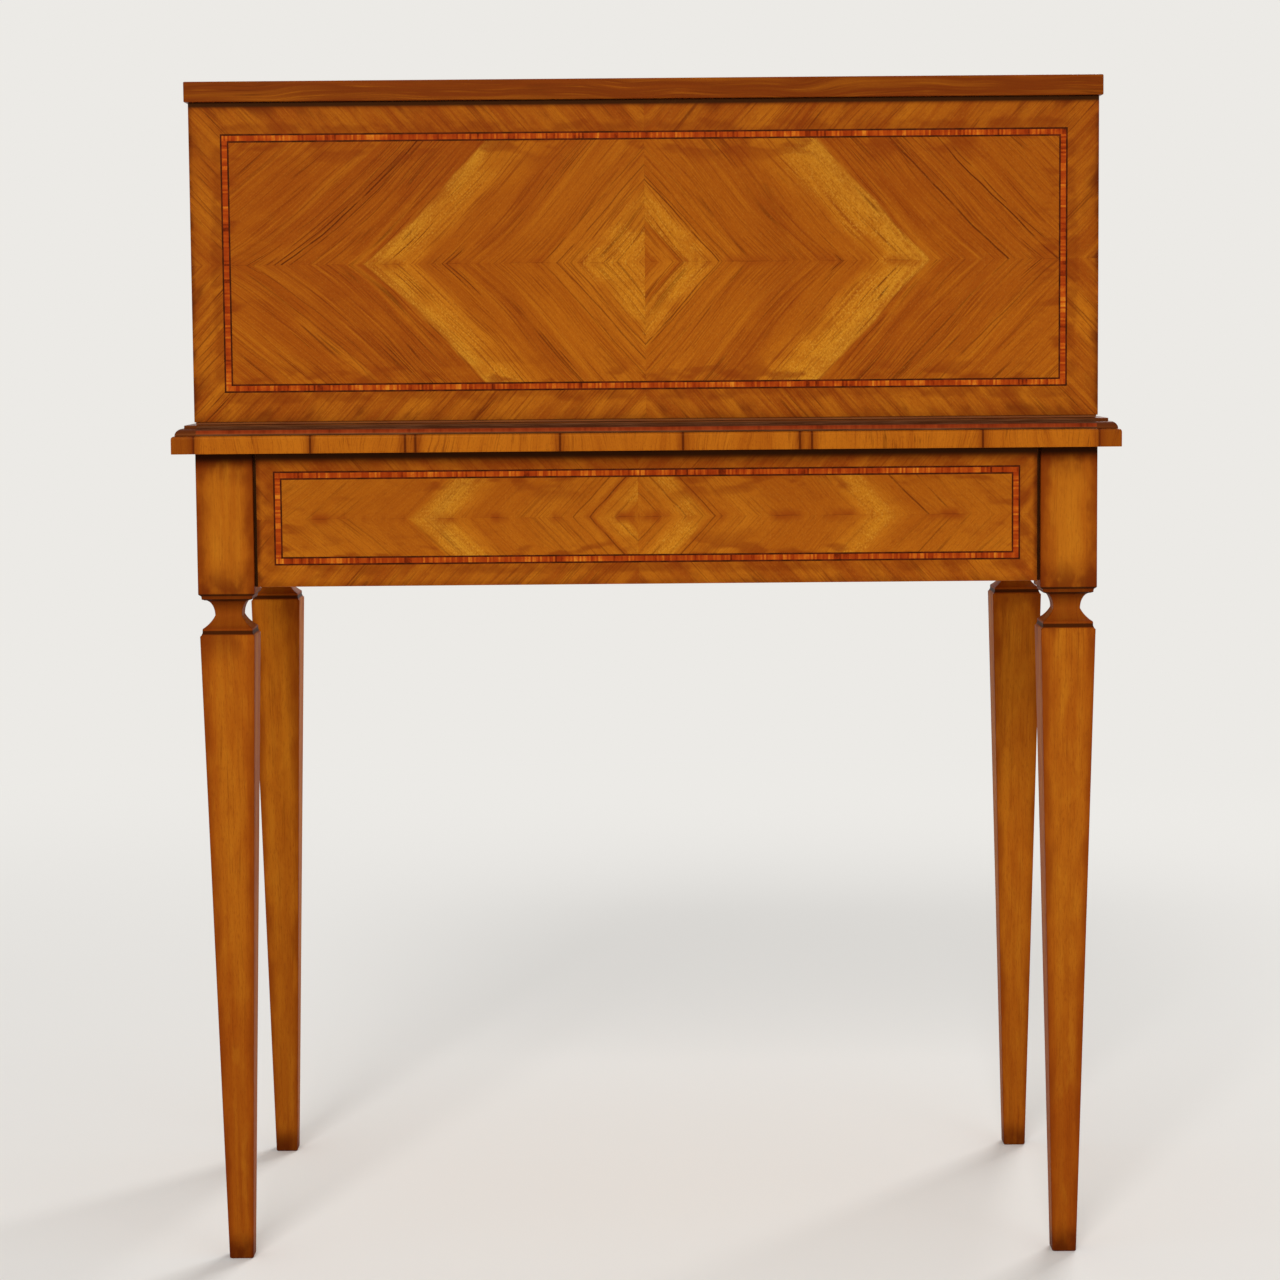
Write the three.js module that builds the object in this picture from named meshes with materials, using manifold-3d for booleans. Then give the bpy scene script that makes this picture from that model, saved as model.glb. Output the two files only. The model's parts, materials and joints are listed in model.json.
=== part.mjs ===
// A bonheur-du-jour: a small lady's writing desk of veneered walnut, on four square tapered legs.
// The upper case stands at the back of the desk top and holds two cupboards, an open pigeonhole
// and two small drawers. The table below holds a wide frieze drawer under a writing slide lined
// with leather. The back is finished too, with a plain panel in the case and in the frieze.
//
// Millimetres, +Z up, +X to the right of someone who looks at the finished back.
// -Y is the back and +Y is the writer's side. The origin is on the floor, under the desk's middle.

import * as THREE from "three";
import { mergeVertices } from "three/addons/utils/BufferGeometryUtils.js";
import Module from "manifold-3d";

const wasm = await Module();
wasm.setup();

// The whole desk
const deskTopWidth = 850;
const deskTopDepth = 490;
const deskTopOverhang = 19;
const writingHeight = 770;
const overallHeight = 1075;

// Fits
const glueGap = 0.2;
const runningGap = 0.3;
const slidingGap = 0.8;
const overrun = 6;

// Legs: a square block, a moulded neck and a square taper
const legBlockWidth = 51.2;
const legBlockHeight = 130;
const taperHeight = 580;
const taperTopWidth = 49.5;
const footWidth = 22;
const legArris = 0.9;
const legSides = 4;

// Shares of the neck's outline: of the block's half width, and of the neck's height from above
const neckChamferShares = [0.906, 0.041];
const neckFilletShares = [0.891, 0.117];
const scotiaTopShares = [0.805, 0.141];
const scotiaThroatShares = [0.477, 0.533];
const flareBellyShares = [0.605, 0.72];
const flareLipShares = [0.867, 0.837];
const grooveTopShares = [0.887, 0.861];
const grooveFootShares = [0.887, 0.943];
const scotiaSteps = 9;
const flareSteps = 6;

// Aprons, with a dark reveal beside each leg
const apronHeight = 123.2;
const apronThickness = 20;
const apronRecess = 0.8;
const revealWidth = 3;
const revealDepth = 3;
const apronTenonThickness = 9;
const apronTenonShoulder = 12;
const tenonLength = 22;

// Front rails
const bottomRailHeight = 16;
const slideRailHeight = 9;
const railTenonShoulder = 2.5;
const railTenonWidth = 26;

// Runners of the frieze drawer and guides of the writing slide
const runnerLedge = 16;
const runnerThickness = 13;
const runnerGuideHeight = 24;

// Desk top: a crossbanded slab with an applied moulding around its raised field
const slabThickness = 13.8;
const mouldingHeight = 9.4;
const mouldingWidth = 22;
const ovoloInset = 3;
const ovoloWidth = 6.9;
const ovoloHeight = 6.5;
const filletSetback = 0.9;
const ovoloSteps = 8;

// Frieze drawer
const drawerBackClearance = 30.4;
const drawerFrontThickness = 20;
const drawerSideThickness = 10;
const drawerSideHeight = 66;
const drawerBackThickness = 10;
const drawerBottomThickness = 6;
const drawerBottomLift = 6;
const grooveDepth = 4;
const drawerKnobSpacing = 420;

// Writing slide
const slideBackClearance = 50.4;
const slideThickness = 15;
const leatherThickness = 1.2;
const leatherSideMargin = 26;
const leatherFrontMargin = 26;
const leatherBackMargin = 64;
const slideKnobSpacing = 300;

// Upper case
const caseDepth = 230;
const caseSideThickness = 16;
const caseBackThickness = 14;
const caseBottomThickness = 14;
const caseTopThickness = 18.1;
const caseTopOverhang = 3.4;
const caseLift = 2.5;
const partitionThickness = 12;
const bayWidth = 276;
const shelfThickness = 8;
const shelfSetback = 2;
const dadoDepth = 3;
const smallDrawerBayShare = 0.2274;
const cupboardShelfShare = 0.52;

// Cupboard doors
const doorThickness = 18;
const doorGap = 1;
const doorKnobInset = 17;
const doorStopLength = 60;
const doorStopSide = 10;

// Butt hinges: their height and their distance from the door's ends are shares of the door
const hingeHeightShare = 0.1478;
const hingeInsetShare = 0.1256;
const hingeLeafWidth = 13;
const hingeLeafThickness = 1.4;
const knuckleRadius = 3;
const knuckleStandoff = 0.3;
const pinRadius = 1.2;
const pinClearance = 0.25;
const knuckleGap = 0.4;
const middleKnuckleShare = 0.42;
const hingeSides = 16;

// Small drawers under the pigeonhole
const smallDrawerBackClearance = 17.8;
const smallFrontThickness = 11;
const smallWallThickness = 5;
const smallBottomThickness = 4;
const smallBoxHeightShare = 0.84;
const dividerThickness = 6;

// Turned brass knobs: radius and reach from the face, and shares of their outline
const drawerKnobRadius = 10;
const drawerKnobReach = 17;
const doorKnobRadius = 8;
const doorKnobReach = 14.5;
const smallKnobRadius = 6.5;
const smallKnobReach = 13;
const slideKnobRadius = 5;
const slideKnobReach = 11;
const knobSides = 16;
const knobOutlineShares = [
  [0, 0],
  [0.86, 0],
  [0.86, 0.1],
  [0.5, 0.2],
  [0.42, 0.42],
  [0.78, 0.58],
  [1, 0.74],
  [0.9, 0.9],
  [0.5, 1],
  [0, 1],
];

// Places that several pieces share
const halfFrameWidth = deskTopWidth / 2 - deskTopOverhang;
const halfFrameDepth = deskTopDepth / 2 - deskTopOverhang;
const halfLegClear = halfFrameWidth - legBlockWidth;
const halfLegClearDepth = halfFrameDepth - legBlockWidth;
const deskTopUnderside = writingHeight - mouldingHeight - slabThickness;
const blockBottom = deskTopUnderside - legBlockHeight;
const apronBottom = deskTopUnderside - apronHeight;
const bottomRailTop = apronBottom + bottomRailHeight;
const slideUnderside = deskTopUnderside - slidingGap - slideThickness;
const slideRailTop = slideUnderside - runningGap;
const slideRailBottom = slideRailTop - slideRailHeight;
const apronInside = halfFrameWidth - apronRecess - apronThickness;
const frontFace = halfFrameDepth - apronRecess;
const backApronInside = halfFrameDepth - apronRecess - apronThickness;
const drawerDepth = frontFace + backApronInside - drawerBackClearance;
const slideDepth = frontFace + backApronInside - slideBackClearance;
const leatherDepth = slideDepth - leatherFrontMargin - leatherBackMargin;
const drawerFloor = bottomRailTop + runningGap;
const caseCeiling = overallHeight - writingHeight - caseTopThickness;
const caseFloor = glueGap + caseBottomThickness;
const caseInsideWidth = halfFrameWidth - caseSideThickness;
const caseInsideBack = caseBackThickness + glueGap;
const bayOutside = bayWidth / 2 + partitionThickness;
const smallDrawerBayHeight = (caseCeiling - caseFloor) * smallDrawerBayShare;
const pigeonholeFloor = caseFloor + glueGap + smallDrawerBayHeight;
const smallDrawerFace = caseDepth - shelfSetback;
const smallDrawerDepth = smallDrawerFace - caseInsideBack - smallDrawerBackClearance;

// Finishes
const finishes = {
  veneer: new THREE.MeshStandardMaterial({ color: 0xa8641f, roughness: 0.32, metalness: 0 }),
  walnut: new THREE.MeshStandardMaterial({ color: 0x9a5518, roughness: 0.34, metalness: 0 }),
  edging: new THREE.MeshStandardMaterial({ color: 0x7a3c10, roughness: 0.32, metalness: 0 }),
  lining: new THREE.MeshStandardMaterial({ color: 0xc9a468, roughness: 0.6, metalness: 0 }),
  carcase: new THREE.MeshStandardMaterial({ color: 0xb98a4e, roughness: 0.65, metalness: 0 }),
  leather: new THREE.MeshStandardMaterial({ color: 0x3f5a34, roughness: 0.5, metalness: 0 }),
  brass: new THREE.MeshStandardMaterial({ color: 0xc79a45, roughness: 0.25, metalness: 1 }),
};

// A stretch from one place to another, whichever way round they are given
function span(one, other) {
  return [Math.min(one, other), Math.max(one, other)];
}

// A stretch centred on a place
function around(middle, length) {
  return [middle - length / 2, middle + length / 2];
}

// A stretch widened at both ends
function widened([low, high], by) {
  return [low - by, high + by];
}

// A closed three.js geometry as a solid that can be cut and joined
function solidOf(geometry) {
  const bare = geometry.clone();
  bare.deleteAttribute("normal");
  bare.deleteAttribute("uv");
  const merged = mergeVertices(bare);
  const corners = merged.index.array;
  const triangles = [];
  for (let i = 0; i < corners.length; i += 3) {
    const [a, b, c] = corners.slice(i, i + 3);
    if (a !== b && b !== c && c !== a) triangles.push(a, b, c);
  }
  const vertProperties = Float32Array.from(merged.attributes.position.array);
  const triVerts = Uint32Array.from(triangles);
  return new wasm.Manifold(new wasm.Mesh({ numProp: 3, vertProperties, triVerts }));
}

function geometryOf(solid) {
  const { vertProperties, triVerts } = solid.getMesh();
  const geometry = new THREE.BufferGeometry();
  geometry.setAttribute("position", new THREE.BufferAttribute(vertProperties, 3));
  geometry.setIndex(new THREE.BufferAttribute(triVerts, 1));
  geometry.computeVertexNormals();
  return geometry;
}

// A block given by its stretches along X, Y and Z
function block([x0, x1], [y0, y1], [z0, z1]) {
  const geometry = new THREE.BoxGeometry(x1 - x0, y1 - y0, z1 - z0);
  geometry.translate((x0 + x1) / 2, (y0 + y1) / 2, (z0 + z1) / 2);
  return geometry;
}

// A geometry with other geometries joined to it and then others cut away
function worked(geometry, { add = [], cut = [] }) {
  let solid = solidOf(geometry);
  for (const piece of add) solid = solid.add(solidOf(piece));
  for (const piece of cut) solid = solid.subtract(solidOf(piece));
  return geometryOf(solid);
}

// A board: a block with its own centre, with blocks joined to it or cut from it.
// The joined and cut stretches are given in the same frame as the board's own.
function board(name, finish, [xs, ys, zs], { add = [], cut = [] } = {}) {
  const centre = [xs, ys, zs].map(([low, high]) => (low + high) / 2);
  const local = (stretches) =>
    block(...stretches.map(([low, high], i) => [low - centre[i], high - centre[i]]));
  let geometry = local([xs, ys, zs]);
  if (add.length + cut.length > 0) {
    geometry = worked(geometry, { add: add.map(local), cut: cut.map(local) });
  }
  const mesh = new THREE.Mesh(geometry, finishes[finish]);
  mesh.name = name;
  mesh.position.set(...centre);
  return mesh;
}

// The tenon that a rail or an apron sets into a leg, from its shoulder outwards.
// along is the axis that the rail runs on, and across the other flat one.
function tenon(along, shoulder, outwards, across, zs) {
  const reach = span(shoulder - outwards * overrun, shoulder + outwards * tenonLength);
  return along === "x" ? [reach, across, zs] : [across, reach, zs];
}

const apronTenonHeight = [apronBottom + apronTenonShoulder, deskTopUnderside - apronTenonShoulder];
const apronTenonSetback = apronRecess + (apronThickness - apronTenonThickness) / 2;
const railTenonDepth = around(halfFrameDepth - legBlockWidth / 2, railTenonWidth);
const railTenonHeights = [
  [apronBottom + railTenonShoulder, bottomRailTop - railTenonShoulder],
  [slideRailBottom + railTenonShoulder, slideRailTop - railTenonShoulder],
];

// Every tenon that enters the leg at one corner; sideX and sideY are -1 or 1
function tenonsAt(sideX, sideY) {
  const outerX = sideX * (halfFrameWidth - apronTenonSetback);
  const acrossX = span(outerX, outerX - sideX * apronTenonThickness);
  const tenons = [tenon("y", sideY * halfLegClearDepth, sideY, acrossX, apronTenonHeight)];
  if (sideY < 0) {
    const outerY = -halfFrameDepth + apronTenonSetback;
    const acrossY = [outerY, outerY + apronTenonThickness];
    tenons.push(tenon("x", sideX * halfLegClear, sideX, acrossY, apronTenonHeight));
  } else {
    for (const heights of railTenonHeights) {
      tenons.push(tenon("x", sideX * halfLegClear, sideX, railTenonDepth, heights));
    }
  }
  return tenons;
}

// The square leg's outline, from the floor's middle up its face to the top's middle
function legOutline() {
  const half = legBlockWidth / 2;
  const neckHeight = blockBottom - taperHeight;
  const at = ([widthShare, heightShare]) =>
    new THREE.Vector2(half * widthShare, blockBottom - neckHeight * heightShare);
  const throat = at(scotiaThroatShares);
  const scotiaTop = at(scotiaTopShares);
  const flare = new THREE.QuadraticBezierCurve(at(flareLipShares), at(flareBellyShares), throat);
  const scotia = new THREE.EllipseCurve(
    scotiaTop.x,
    throat.y,
    scotiaTop.x - throat.x,
    scotiaTop.y - throat.y,
    Math.PI,
    Math.PI / 2,
    true,
  );
  const legTop = deskTopUnderside - glueGap;
  return [
    new THREE.Vector2(0, 0),
    new THREE.Vector2(footWidth / 2, 0),
    new THREE.Vector2(taperTopWidth / 2, taperHeight - legArris),
    new THREE.Vector2(taperTopWidth / 2 - legArris, taperHeight),
    at(grooveFootShares),
    at(grooveTopShares),
    ...flare.getPoints(flareSteps),
    ...scotia.getPoints(scotiaSteps).slice(1),
    at(neckFilletShares),
    at(neckChamferShares),
    new THREE.Vector2(half, blockBottom),
    new THREE.Vector2(half, legTop),
    new THREE.Vector2(0, legTop),
  ];
}

// A leg is its outline turned in four steps, which gives a square, with its mortises cut
function leg(name, sideX, sideY) {
  const corners = legOutline().map((point) => new THREE.Vector2(point.x * Math.SQRT2, point.y));
  const geometry = new THREE.LatheGeometry(corners, legSides);
  geometry.rotateY(Math.PI / 4);
  geometry.rotateX(Math.PI / 2);
  const centreX = sideX * (halfFrameWidth - legBlockWidth / 2);
  const centreY = sideY * (halfFrameDepth - legBlockWidth / 2);
  const mortises = tenonsAt(sideX, sideY).map((stretches) => {
    const mortise = block(...stretches.map((stretch) => widened(stretch, glueGap)));
    mortise.translate(-centreX, -centreY, 0);
    return mortise;
  });
  const mesh = new THREE.Mesh(worked(geometry, { cut: mortises }), finishes.walnut);
  mesh.name = name;
  mesh.position.set(centreX, centreY, 0);
  return mesh;
}

function legs() {
  const corners = [
    ["leg_back_left", -1, -1],
    ["leg_back_right", 1, -1],
    ["leg_front_left", -1, 1],
    ["leg_front_right", 1, 1],
  ];
  return corners.map((corner) => leg(...corner));
}

// The finished back's frieze: a tenoned board whose face stops short of the legs
function backApron() {
  const face = -halfFrameDepth + apronRecess;
  const zs = [apronBottom, deskTopUnderside - glueGap];
  const shoulder = halfLegClear - glueGap;
  const outerY = -halfFrameDepth + apronTenonSetback;
  const acrossY = [outerY, outerY + apronTenonThickness];
  const add = [];
  const cut = [];
  for (const side of [-1, 1]) {
    add.push(tenon("x", side * halfLegClear, side, acrossY, apronTenonHeight));
    const reveal = span(side * (halfLegClear - revealWidth), side * (halfLegClear + overrun));
    cut.push([reveal, [face - overrun, face + revealDepth], widened(zs, overrun)]);
  }
  const stretches = [[-shoulder, shoulder], [face, face + apronThickness], zs];
  return board("back_apron", "veneer", stretches, { add, cut });
}

function sideApron(name, side) {
  const face = side * (halfFrameWidth - apronRecess);
  const zs = [apronBottom, deskTopUnderside - glueGap];
  const shoulder = halfLegClearDepth - glueGap;
  const outerX = side * (halfFrameWidth - apronTenonSetback);
  const acrossX = span(outerX, outerX - side * apronTenonThickness);
  const add = [];
  const cut = [];
  for (const end of [-1, 1]) {
    add.push(tenon("y", end * halfLegClearDepth, end, acrossX, apronTenonHeight));
    const reveal = span(end * (halfLegClearDepth - revealWidth), end * (halfLegClearDepth + overrun));
    cut.push([span(face + side * overrun, face - side * revealDepth), reveal, widened(zs, overrun)]);
  }
  const xs = span(face, face - side * apronThickness);
  return board(name, "veneer", [xs, [-shoulder, shoulder], zs], { add, cut });
}

// A rail across the front, between the front legs
function frontRail(name, bottom, top, tenonHeights) {
  const shoulder = halfLegClear - glueGap;
  const ys = [halfLegClearDepth, frontFace];
  const add = [-1, 1].map((side) =>
    tenon("x", side * halfLegClear, side, railTenonDepth, tenonHeights),
  );
  return board(name, "walnut", [[-shoulder, shoulder], ys, [bottom, top]], { add });
}

// An L-shaped runner along a side: a ledge that carries the sliding piece and a strip beside it
function runner(name, side, ledgeTop, thickness, guideTop) {
  const ys = around(0, 2 * (halfLegClearDepth - glueGap));
  const inner = side * (halfLegClear - runnerLedge);
  const outer = side * (apronInside - glueGap);
  const ledge = [span(inner, outer), ys, [ledgeTop - thickness, ledgeTop]];
  const strip = [span(side * halfLegClear, outer), ys, [ledgeTop - thickness, guideTop]];
  return board(name, "carcase", ledge, { add: [strip] });
}

// The desk top: a slab with a raised field, inside the applied moulding
function deskTop() {
  const slabTop = deskTopUnderside + slabThickness;
  const slab = [
    around(0, deskTopWidth),
    around(0, deskTopDepth),
    [deskTopUnderside, slabTop],
  ];
  const field = [
    around(0, deskTopWidth - 2 * (mouldingWidth + glueGap)),
    around(0, deskTopDepth - 2 * (mouldingWidth + glueGap)),
    [deskTopUnderside + slabThickness / 2, writingHeight],
  ];
  return board("desk_top", "veneer", slab, { add: [field] });
}

// One mitred length of the moulding: its section is stretched sideways by how far out it lies
function mouldingLength(name, innerLength, turn, distance) {
  const outer = mouldingWidth - ovoloInset;
  const ovoloTop = outer - ovoloWidth;
  const fillet = ovoloTop - filletSetback;
  const section = new THREE.Shape();
  section.moveTo(0, glueGap);
  section.lineTo(outer, glueGap);
  section.absellipse(ovoloTop, glueGap, ovoloWidth, ovoloHeight - glueGap, 0, Math.PI / 2, false, 0);
  section.lineTo(fillet, ovoloHeight);
  section.lineTo(fillet, mouldingHeight);
  section.lineTo(0, mouldingHeight);
  section.closePath();
  const geometry = new THREE.ExtrudeGeometry(section, {
    depth: innerLength,
    bevelEnabled: false,
    curveSegments: ovoloSteps,
  });
  const places = geometry.attributes.position;
  for (let i = 0; i < places.count; i += 1) {
    const out = places.getX(i);
    const up = places.getY(i);
    const end = places.getZ(i) > innerLength / 2 ? 1 : -1;
    const along = end * (innerLength / 2 + out - glueGap);
    places.setXYZ(i, along, out, up);
  }
  const mesh = new THREE.Mesh(geometryOf(solidOf(geometry)), finishes.edging);
  mesh.name = name;
  mesh.rotation.z = turn;
  mesh.position.set(
    -Math.sin(turn) * distance,
    Math.cos(turn) * distance,
    deskTopUnderside + slabThickness,
  );
  return mesh;
}

function mouldings() {
  const halfWidth = deskTopWidth / 2 - mouldingWidth;
  const halfDepth = deskTopDepth / 2 - mouldingWidth;
  return [
    mouldingLength("moulding_front", 2 * halfWidth, 0, halfDepth),
    mouldingLength("moulding_left", 2 * halfDepth, Math.PI / 2, halfWidth),
    mouldingLength("moulding_back", 2 * halfWidth, Math.PI, halfDepth),
    mouldingLength("moulding_right", 2 * halfDepth, -Math.PI / 2, halfWidth),
  ];
}

// A turned knob that points to the front, with its seat at the group's own y of zero
function knob(name, radius, reach, x, y, z) {
  const outline = knobOutlineShares.map(
    ([radiusShare, reachShare]) => new THREE.Vector2(radius * radiusShare, reach * reachShare),
  );
  const mesh = new THREE.Mesh(new THREE.LatheGeometry(outline, knobSides), finishes.brass);
  mesh.name = name;
  mesh.position.set(x, y + glueGap, z);
  return mesh;
}

// The frieze drawer. Its own frame starts at the front legs' face and at the drawer's floor.
function friezeDrawer() {
  const group = new THREE.Group();
  group.position.set(0, halfFrameDepth, drawerFloor);
  const halfWidth = halfLegClear - slidingGap;
  const frontTop = slideRailBottom - slidingGap - drawerFloor;
  const face = -apronRecess;
  const frontBack = face - drawerFrontThickness;
  const sideFront = frontBack - glueGap;
  const boxBack = face - drawerDepth;
  const sideInside = halfWidth - drawerSideThickness;
  const bottomTop = drawerBottomLift + drawerBottomThickness;
  const groove = widened([drawerBottomLift, bottomTop], glueGap);
  const frontGroove = [
    around(0, 2 * (sideInside + grooveDepth)),
    [frontBack - overrun, frontBack + grooveDepth],
    groove,
  ];
  group.add(
    board(
      "frieze_drawer_front",
      "veneer",
      [[-halfWidth, halfWidth], [frontBack, face], [0, frontTop]],
      { cut: [frontGroove] },
    ),
  );
  for (const [name, side] of [["left", -1], ["right", 1]]) {
    const sideGroove = [
      span(side * (sideInside - overrun), side * (sideInside + grooveDepth)),
      [boxBack - overrun, sideFront + overrun],
      groove,
    ];
    group.add(
      board(
        `frieze_drawer_${name}_side`,
        "lining",
        [span(side * sideInside, side * halfWidth), [boxBack, sideFront], [0, drawerSideHeight]],
        { cut: [sideGroove] },
      ),
    );
    const knobX = (side * drawerKnobSpacing) / 2;
    const knobName = `frieze_drawer_${name}_knob`;
    group.add(knob(knobName, drawerKnobRadius, drawerKnobReach, knobX, face, frontTop / 2));
  }
  const backHalf = sideInside - glueGap;
  const backZ = [bottomTop + glueGap, drawerSideHeight];
  const backY = [boxBack, boxBack + drawerBackThickness];
  group.add(board("frieze_drawer_back", "lining", [[-backHalf, backHalf], backY, backZ]));
  const bottomHalf = sideInside + grooveDepth - glueGap;
  const bottomY = [boxBack, frontBack + grooveDepth - glueGap];
  const bottomZ = [drawerBottomLift, bottomTop];
  group.add(board("frieze_drawer_bottom", "lining", [[-bottomHalf, bottomHalf], bottomY, bottomZ]));
  return group;
}

// The writing slide. Its own frame starts at the front legs' face and at the slide's underside.
function writingSlide() {
  const group = new THREE.Group();
  group.position.set(0, halfFrameDepth, slideUnderside);
  const halfWidth = halfLegClear - slidingGap;
  const face = -apronRecess;
  const leatherHalf = halfWidth - leatherSideMargin;
  const leatherY = [face - leatherFrontMargin - leatherDepth, face - leatherFrontMargin];
  const pocket = [
    around(0, 2 * (leatherHalf + glueGap)),
    widened(leatherY, glueGap),
    [slideThickness - leatherThickness - glueGap, slideThickness + overrun],
  ];
  group.add(
    board(
      "writing_slide_board",
      "walnut",
      [[-halfWidth, halfWidth], [face - slideDepth, face], [0, slideThickness]],
      { cut: [pocket] },
    ),
  );
  const leatherZ = [slideThickness - leatherThickness, slideThickness];
  const leatherStretches = [[-leatherHalf, leatherHalf], leatherY, leatherZ];
  group.add(board("writing_slide_leather", "leather", leatherStretches));
  for (const [name, side] of [["left", -1], ["right", 1]]) {
    const knobX = (side * slideKnobSpacing) / 2;
    const knobName = `writing_slide_${name}_knob`;
    group.add(knob(knobName, slideKnobRadius, slideKnobReach, knobX, face, slideThickness / 2));
  }
  return group;
}

// Heights of the two hinges on a door, measured as the doors' own stretches are
const doorHeights = [caseFloor + doorGap, caseCeiling - doorGap];
const doorHeight = doorHeights[1] - doorHeights[0];
const hingeHeight = doorHeight * hingeHeightShare;
const hingeInset = doorHeight * hingeInsetShare;
const hingeMiddles = [
  ["lower", doorHeights[0] + hingeInset + hingeHeight / 2],
  ["upper", doorHeights[1] - hingeInset - hingeHeight / 2],
];
const hingeX = caseInsideWidth - doorGap / 2;
const hingeY = caseDepth + knuckleRadius + knuckleStandoff;

// A cylinder that stands upright on the hinge line
function hingeCylinder(radius, [low, high]) {
  const geometry = new THREE.CylinderGeometry(radius, radius, high - low, hingeSides);
  geometry.rotateX(Math.PI / 2);
  geometry.translate(0, 0, (low + high) / 2);
  return geometry;
}

// One leaf of a butt hinge in the frame of its pin: out is +1 for the leaf that lies towards +X
function hingeLeaf(name, out, carriesPin) {
  const half = hingeHeight / 2;
  const middle = (hingeHeight * middleKnuckleShare) / 2;
  const clearance = knuckleGap / 2;
  const plateX = span((out * doorGap) / 2, out * (doorGap / 2 + hingeLeafThickness));
  const plateEnd = -(knuckleRadius + knuckleGap);
  const plateY = [-(knuckleRadius + knuckleStandoff + hingeLeafWidth), plateEnd];
  const knuckles = carriesPin
    ? [[-half, -middle - clearance], [middle + clearance, half]]
    : [[-middle + clearance, middle - clearance]];
  const add = [];
  const cut = [];
  for (const stretch of knuckles) {
    add.push(hingeCylinder(knuckleRadius, stretch));
    add.push(block(plateX, [plateEnd - knuckleGap, 0], stretch));
  }
  if (carriesPin) {
    add.push(hingeCylinder(pinRadius, [-half, half]));
  } else {
    cut.push(hingeCylinder(pinRadius + pinClearance, [-half, half]));
  }
  const geometry = worked(block(plateX, plateY, [-half, half]), { add, cut });
  const mesh = new THREE.Mesh(geometry, finishes.brass);
  mesh.name = name;
  return mesh;
}

// The recess that a hinge leaf lies in, in the frame of its pin
function leafRecess(out, middleZ) {
  const deep = doorGap / 2 + hingeLeafThickness + glueGap;
  const leafBack = -(knuckleRadius + knuckleStandoff + hingeLeafWidth + glueGap);
  const xs = span(out * (doorGap / 2 - overrun), out * deep);
  return [xs, [leafBack, overrun], widened(around(middleZ, hingeHeight), glueGap)];
}

// Stretches moved from the pin's frame to the frame of the upper case
function fromPin(side, [xs, ys, zs]) {
  const moved = xs.map((x) => x + side * hingeX);
  return [moved, ys.map((y) => y + hingeY), zs];
}

// A door in the frame of its hinge line; side is -1 for the left one and 1 for the right one
function door(name, side) {
  const group = new THREE.Group();
  group.position.set(side * hingeX, hingeY, 0);
  const edge = (-side * doorGap) / 2;
  const width = caseInsideWidth - bayOutside - 2 * doorGap;
  const free = edge - side * width;
  const face = -(knuckleRadius + knuckleStandoff);
  const cut = hingeMiddles.map(([, middleZ]) => leafRecess(-side, middleZ));
  const stretches = [span(edge, free), [face - doorThickness, face], doorHeights];
  group.add(board(`${name}_door`, "veneer", stretches, { cut }));
  for (const [place, middleZ] of hingeMiddles) {
    const leaf = hingeLeaf(`${name}_${place}_hinge_door_leaf`, -side, false);
    leaf.position.z = middleZ;
    group.add(leaf);
  }
  const knobZ = (doorHeights[0] + doorHeights[1]) / 2;
  const knobX = free + side * doorKnobInset;
  group.add(knob(`${name}_door_knob`, doorKnobRadius, doorKnobReach, knobX, face, knobZ));
  return group;
}

// The case leaves, which carry the pins
function caseLeaves() {
  const leaves = [];
  for (const [name, side] of [["left", -1], ["right", 1]]) {
    for (const [place, middleZ] of hingeMiddles) {
      const leaf = hingeLeaf(`${name}_${place}_hinge_case_leaf`, side, true);
      leaf.position.set(side * hingeX, hingeY, middleZ);
      leaves.push(leaf);
    }
  }
  return leaves;
}

// Where the shelves lie inside the case
const cupboardShelfZ = caseFloor + (caseCeiling - caseFloor) * cupboardShelfShare;
const cupboardShelfHeights = [cupboardShelfZ, cupboardShelfZ + shelfThickness];
const pigeonholeShelfHeights = [pigeonholeFloor, pigeonholeFloor + shelfThickness];
const cupboardShelfDepth = [caseInsideBack, caseDepth - doorThickness - shelfSetback];
const pigeonholeShelfDepth = [caseInsideBack, smallDrawerFace];

// The dado that holds a shelf's end: the shelf's own section, eased and run out past the wall
function dado(xs, [back, front], heights) {
  return [xs, [back - overrun, front + glueGap], widened(heights, glueGap)];
}

function caseSide(name, side) {
  const inner = side * caseInsideWidth;
  const dadoX = span(inner - side * overrun, inner + side * dadoDepth);
  const cut = hingeMiddles.map(([, middleZ]) => fromPin(side, leafRecess(side, middleZ)));
  cut.push(dado(dadoX, cupboardShelfDepth, cupboardShelfHeights));
  const xs = span(inner, side * halfFrameWidth);
  const zs = [caseLift, caseCeiling - glueGap];
  return board(name, "veneer", [xs, [caseInsideBack, caseDepth], zs], { cut });
}

function partition(name, side) {
  const baySide = (side * bayWidth) / 2;
  const cupboardSide = side * bayOutside;
  const cupboardDado = span(cupboardSide + side * overrun, cupboardSide - side * dadoDepth);
  const bayDado = span(baySide - side * overrun, baySide + side * dadoDepth);
  const cut = [
    dado(cupboardDado, cupboardShelfDepth, cupboardShelfHeights),
    dado(bayDado, pigeonholeShelfDepth, pigeonholeShelfHeights),
  ];
  const zs = [caseFloor + glueGap, caseCeiling - glueGap];
  return board(name, "walnut", [span(baySide, cupboardSide), [caseInsideBack, caseDepth], zs], { cut });
}

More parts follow.
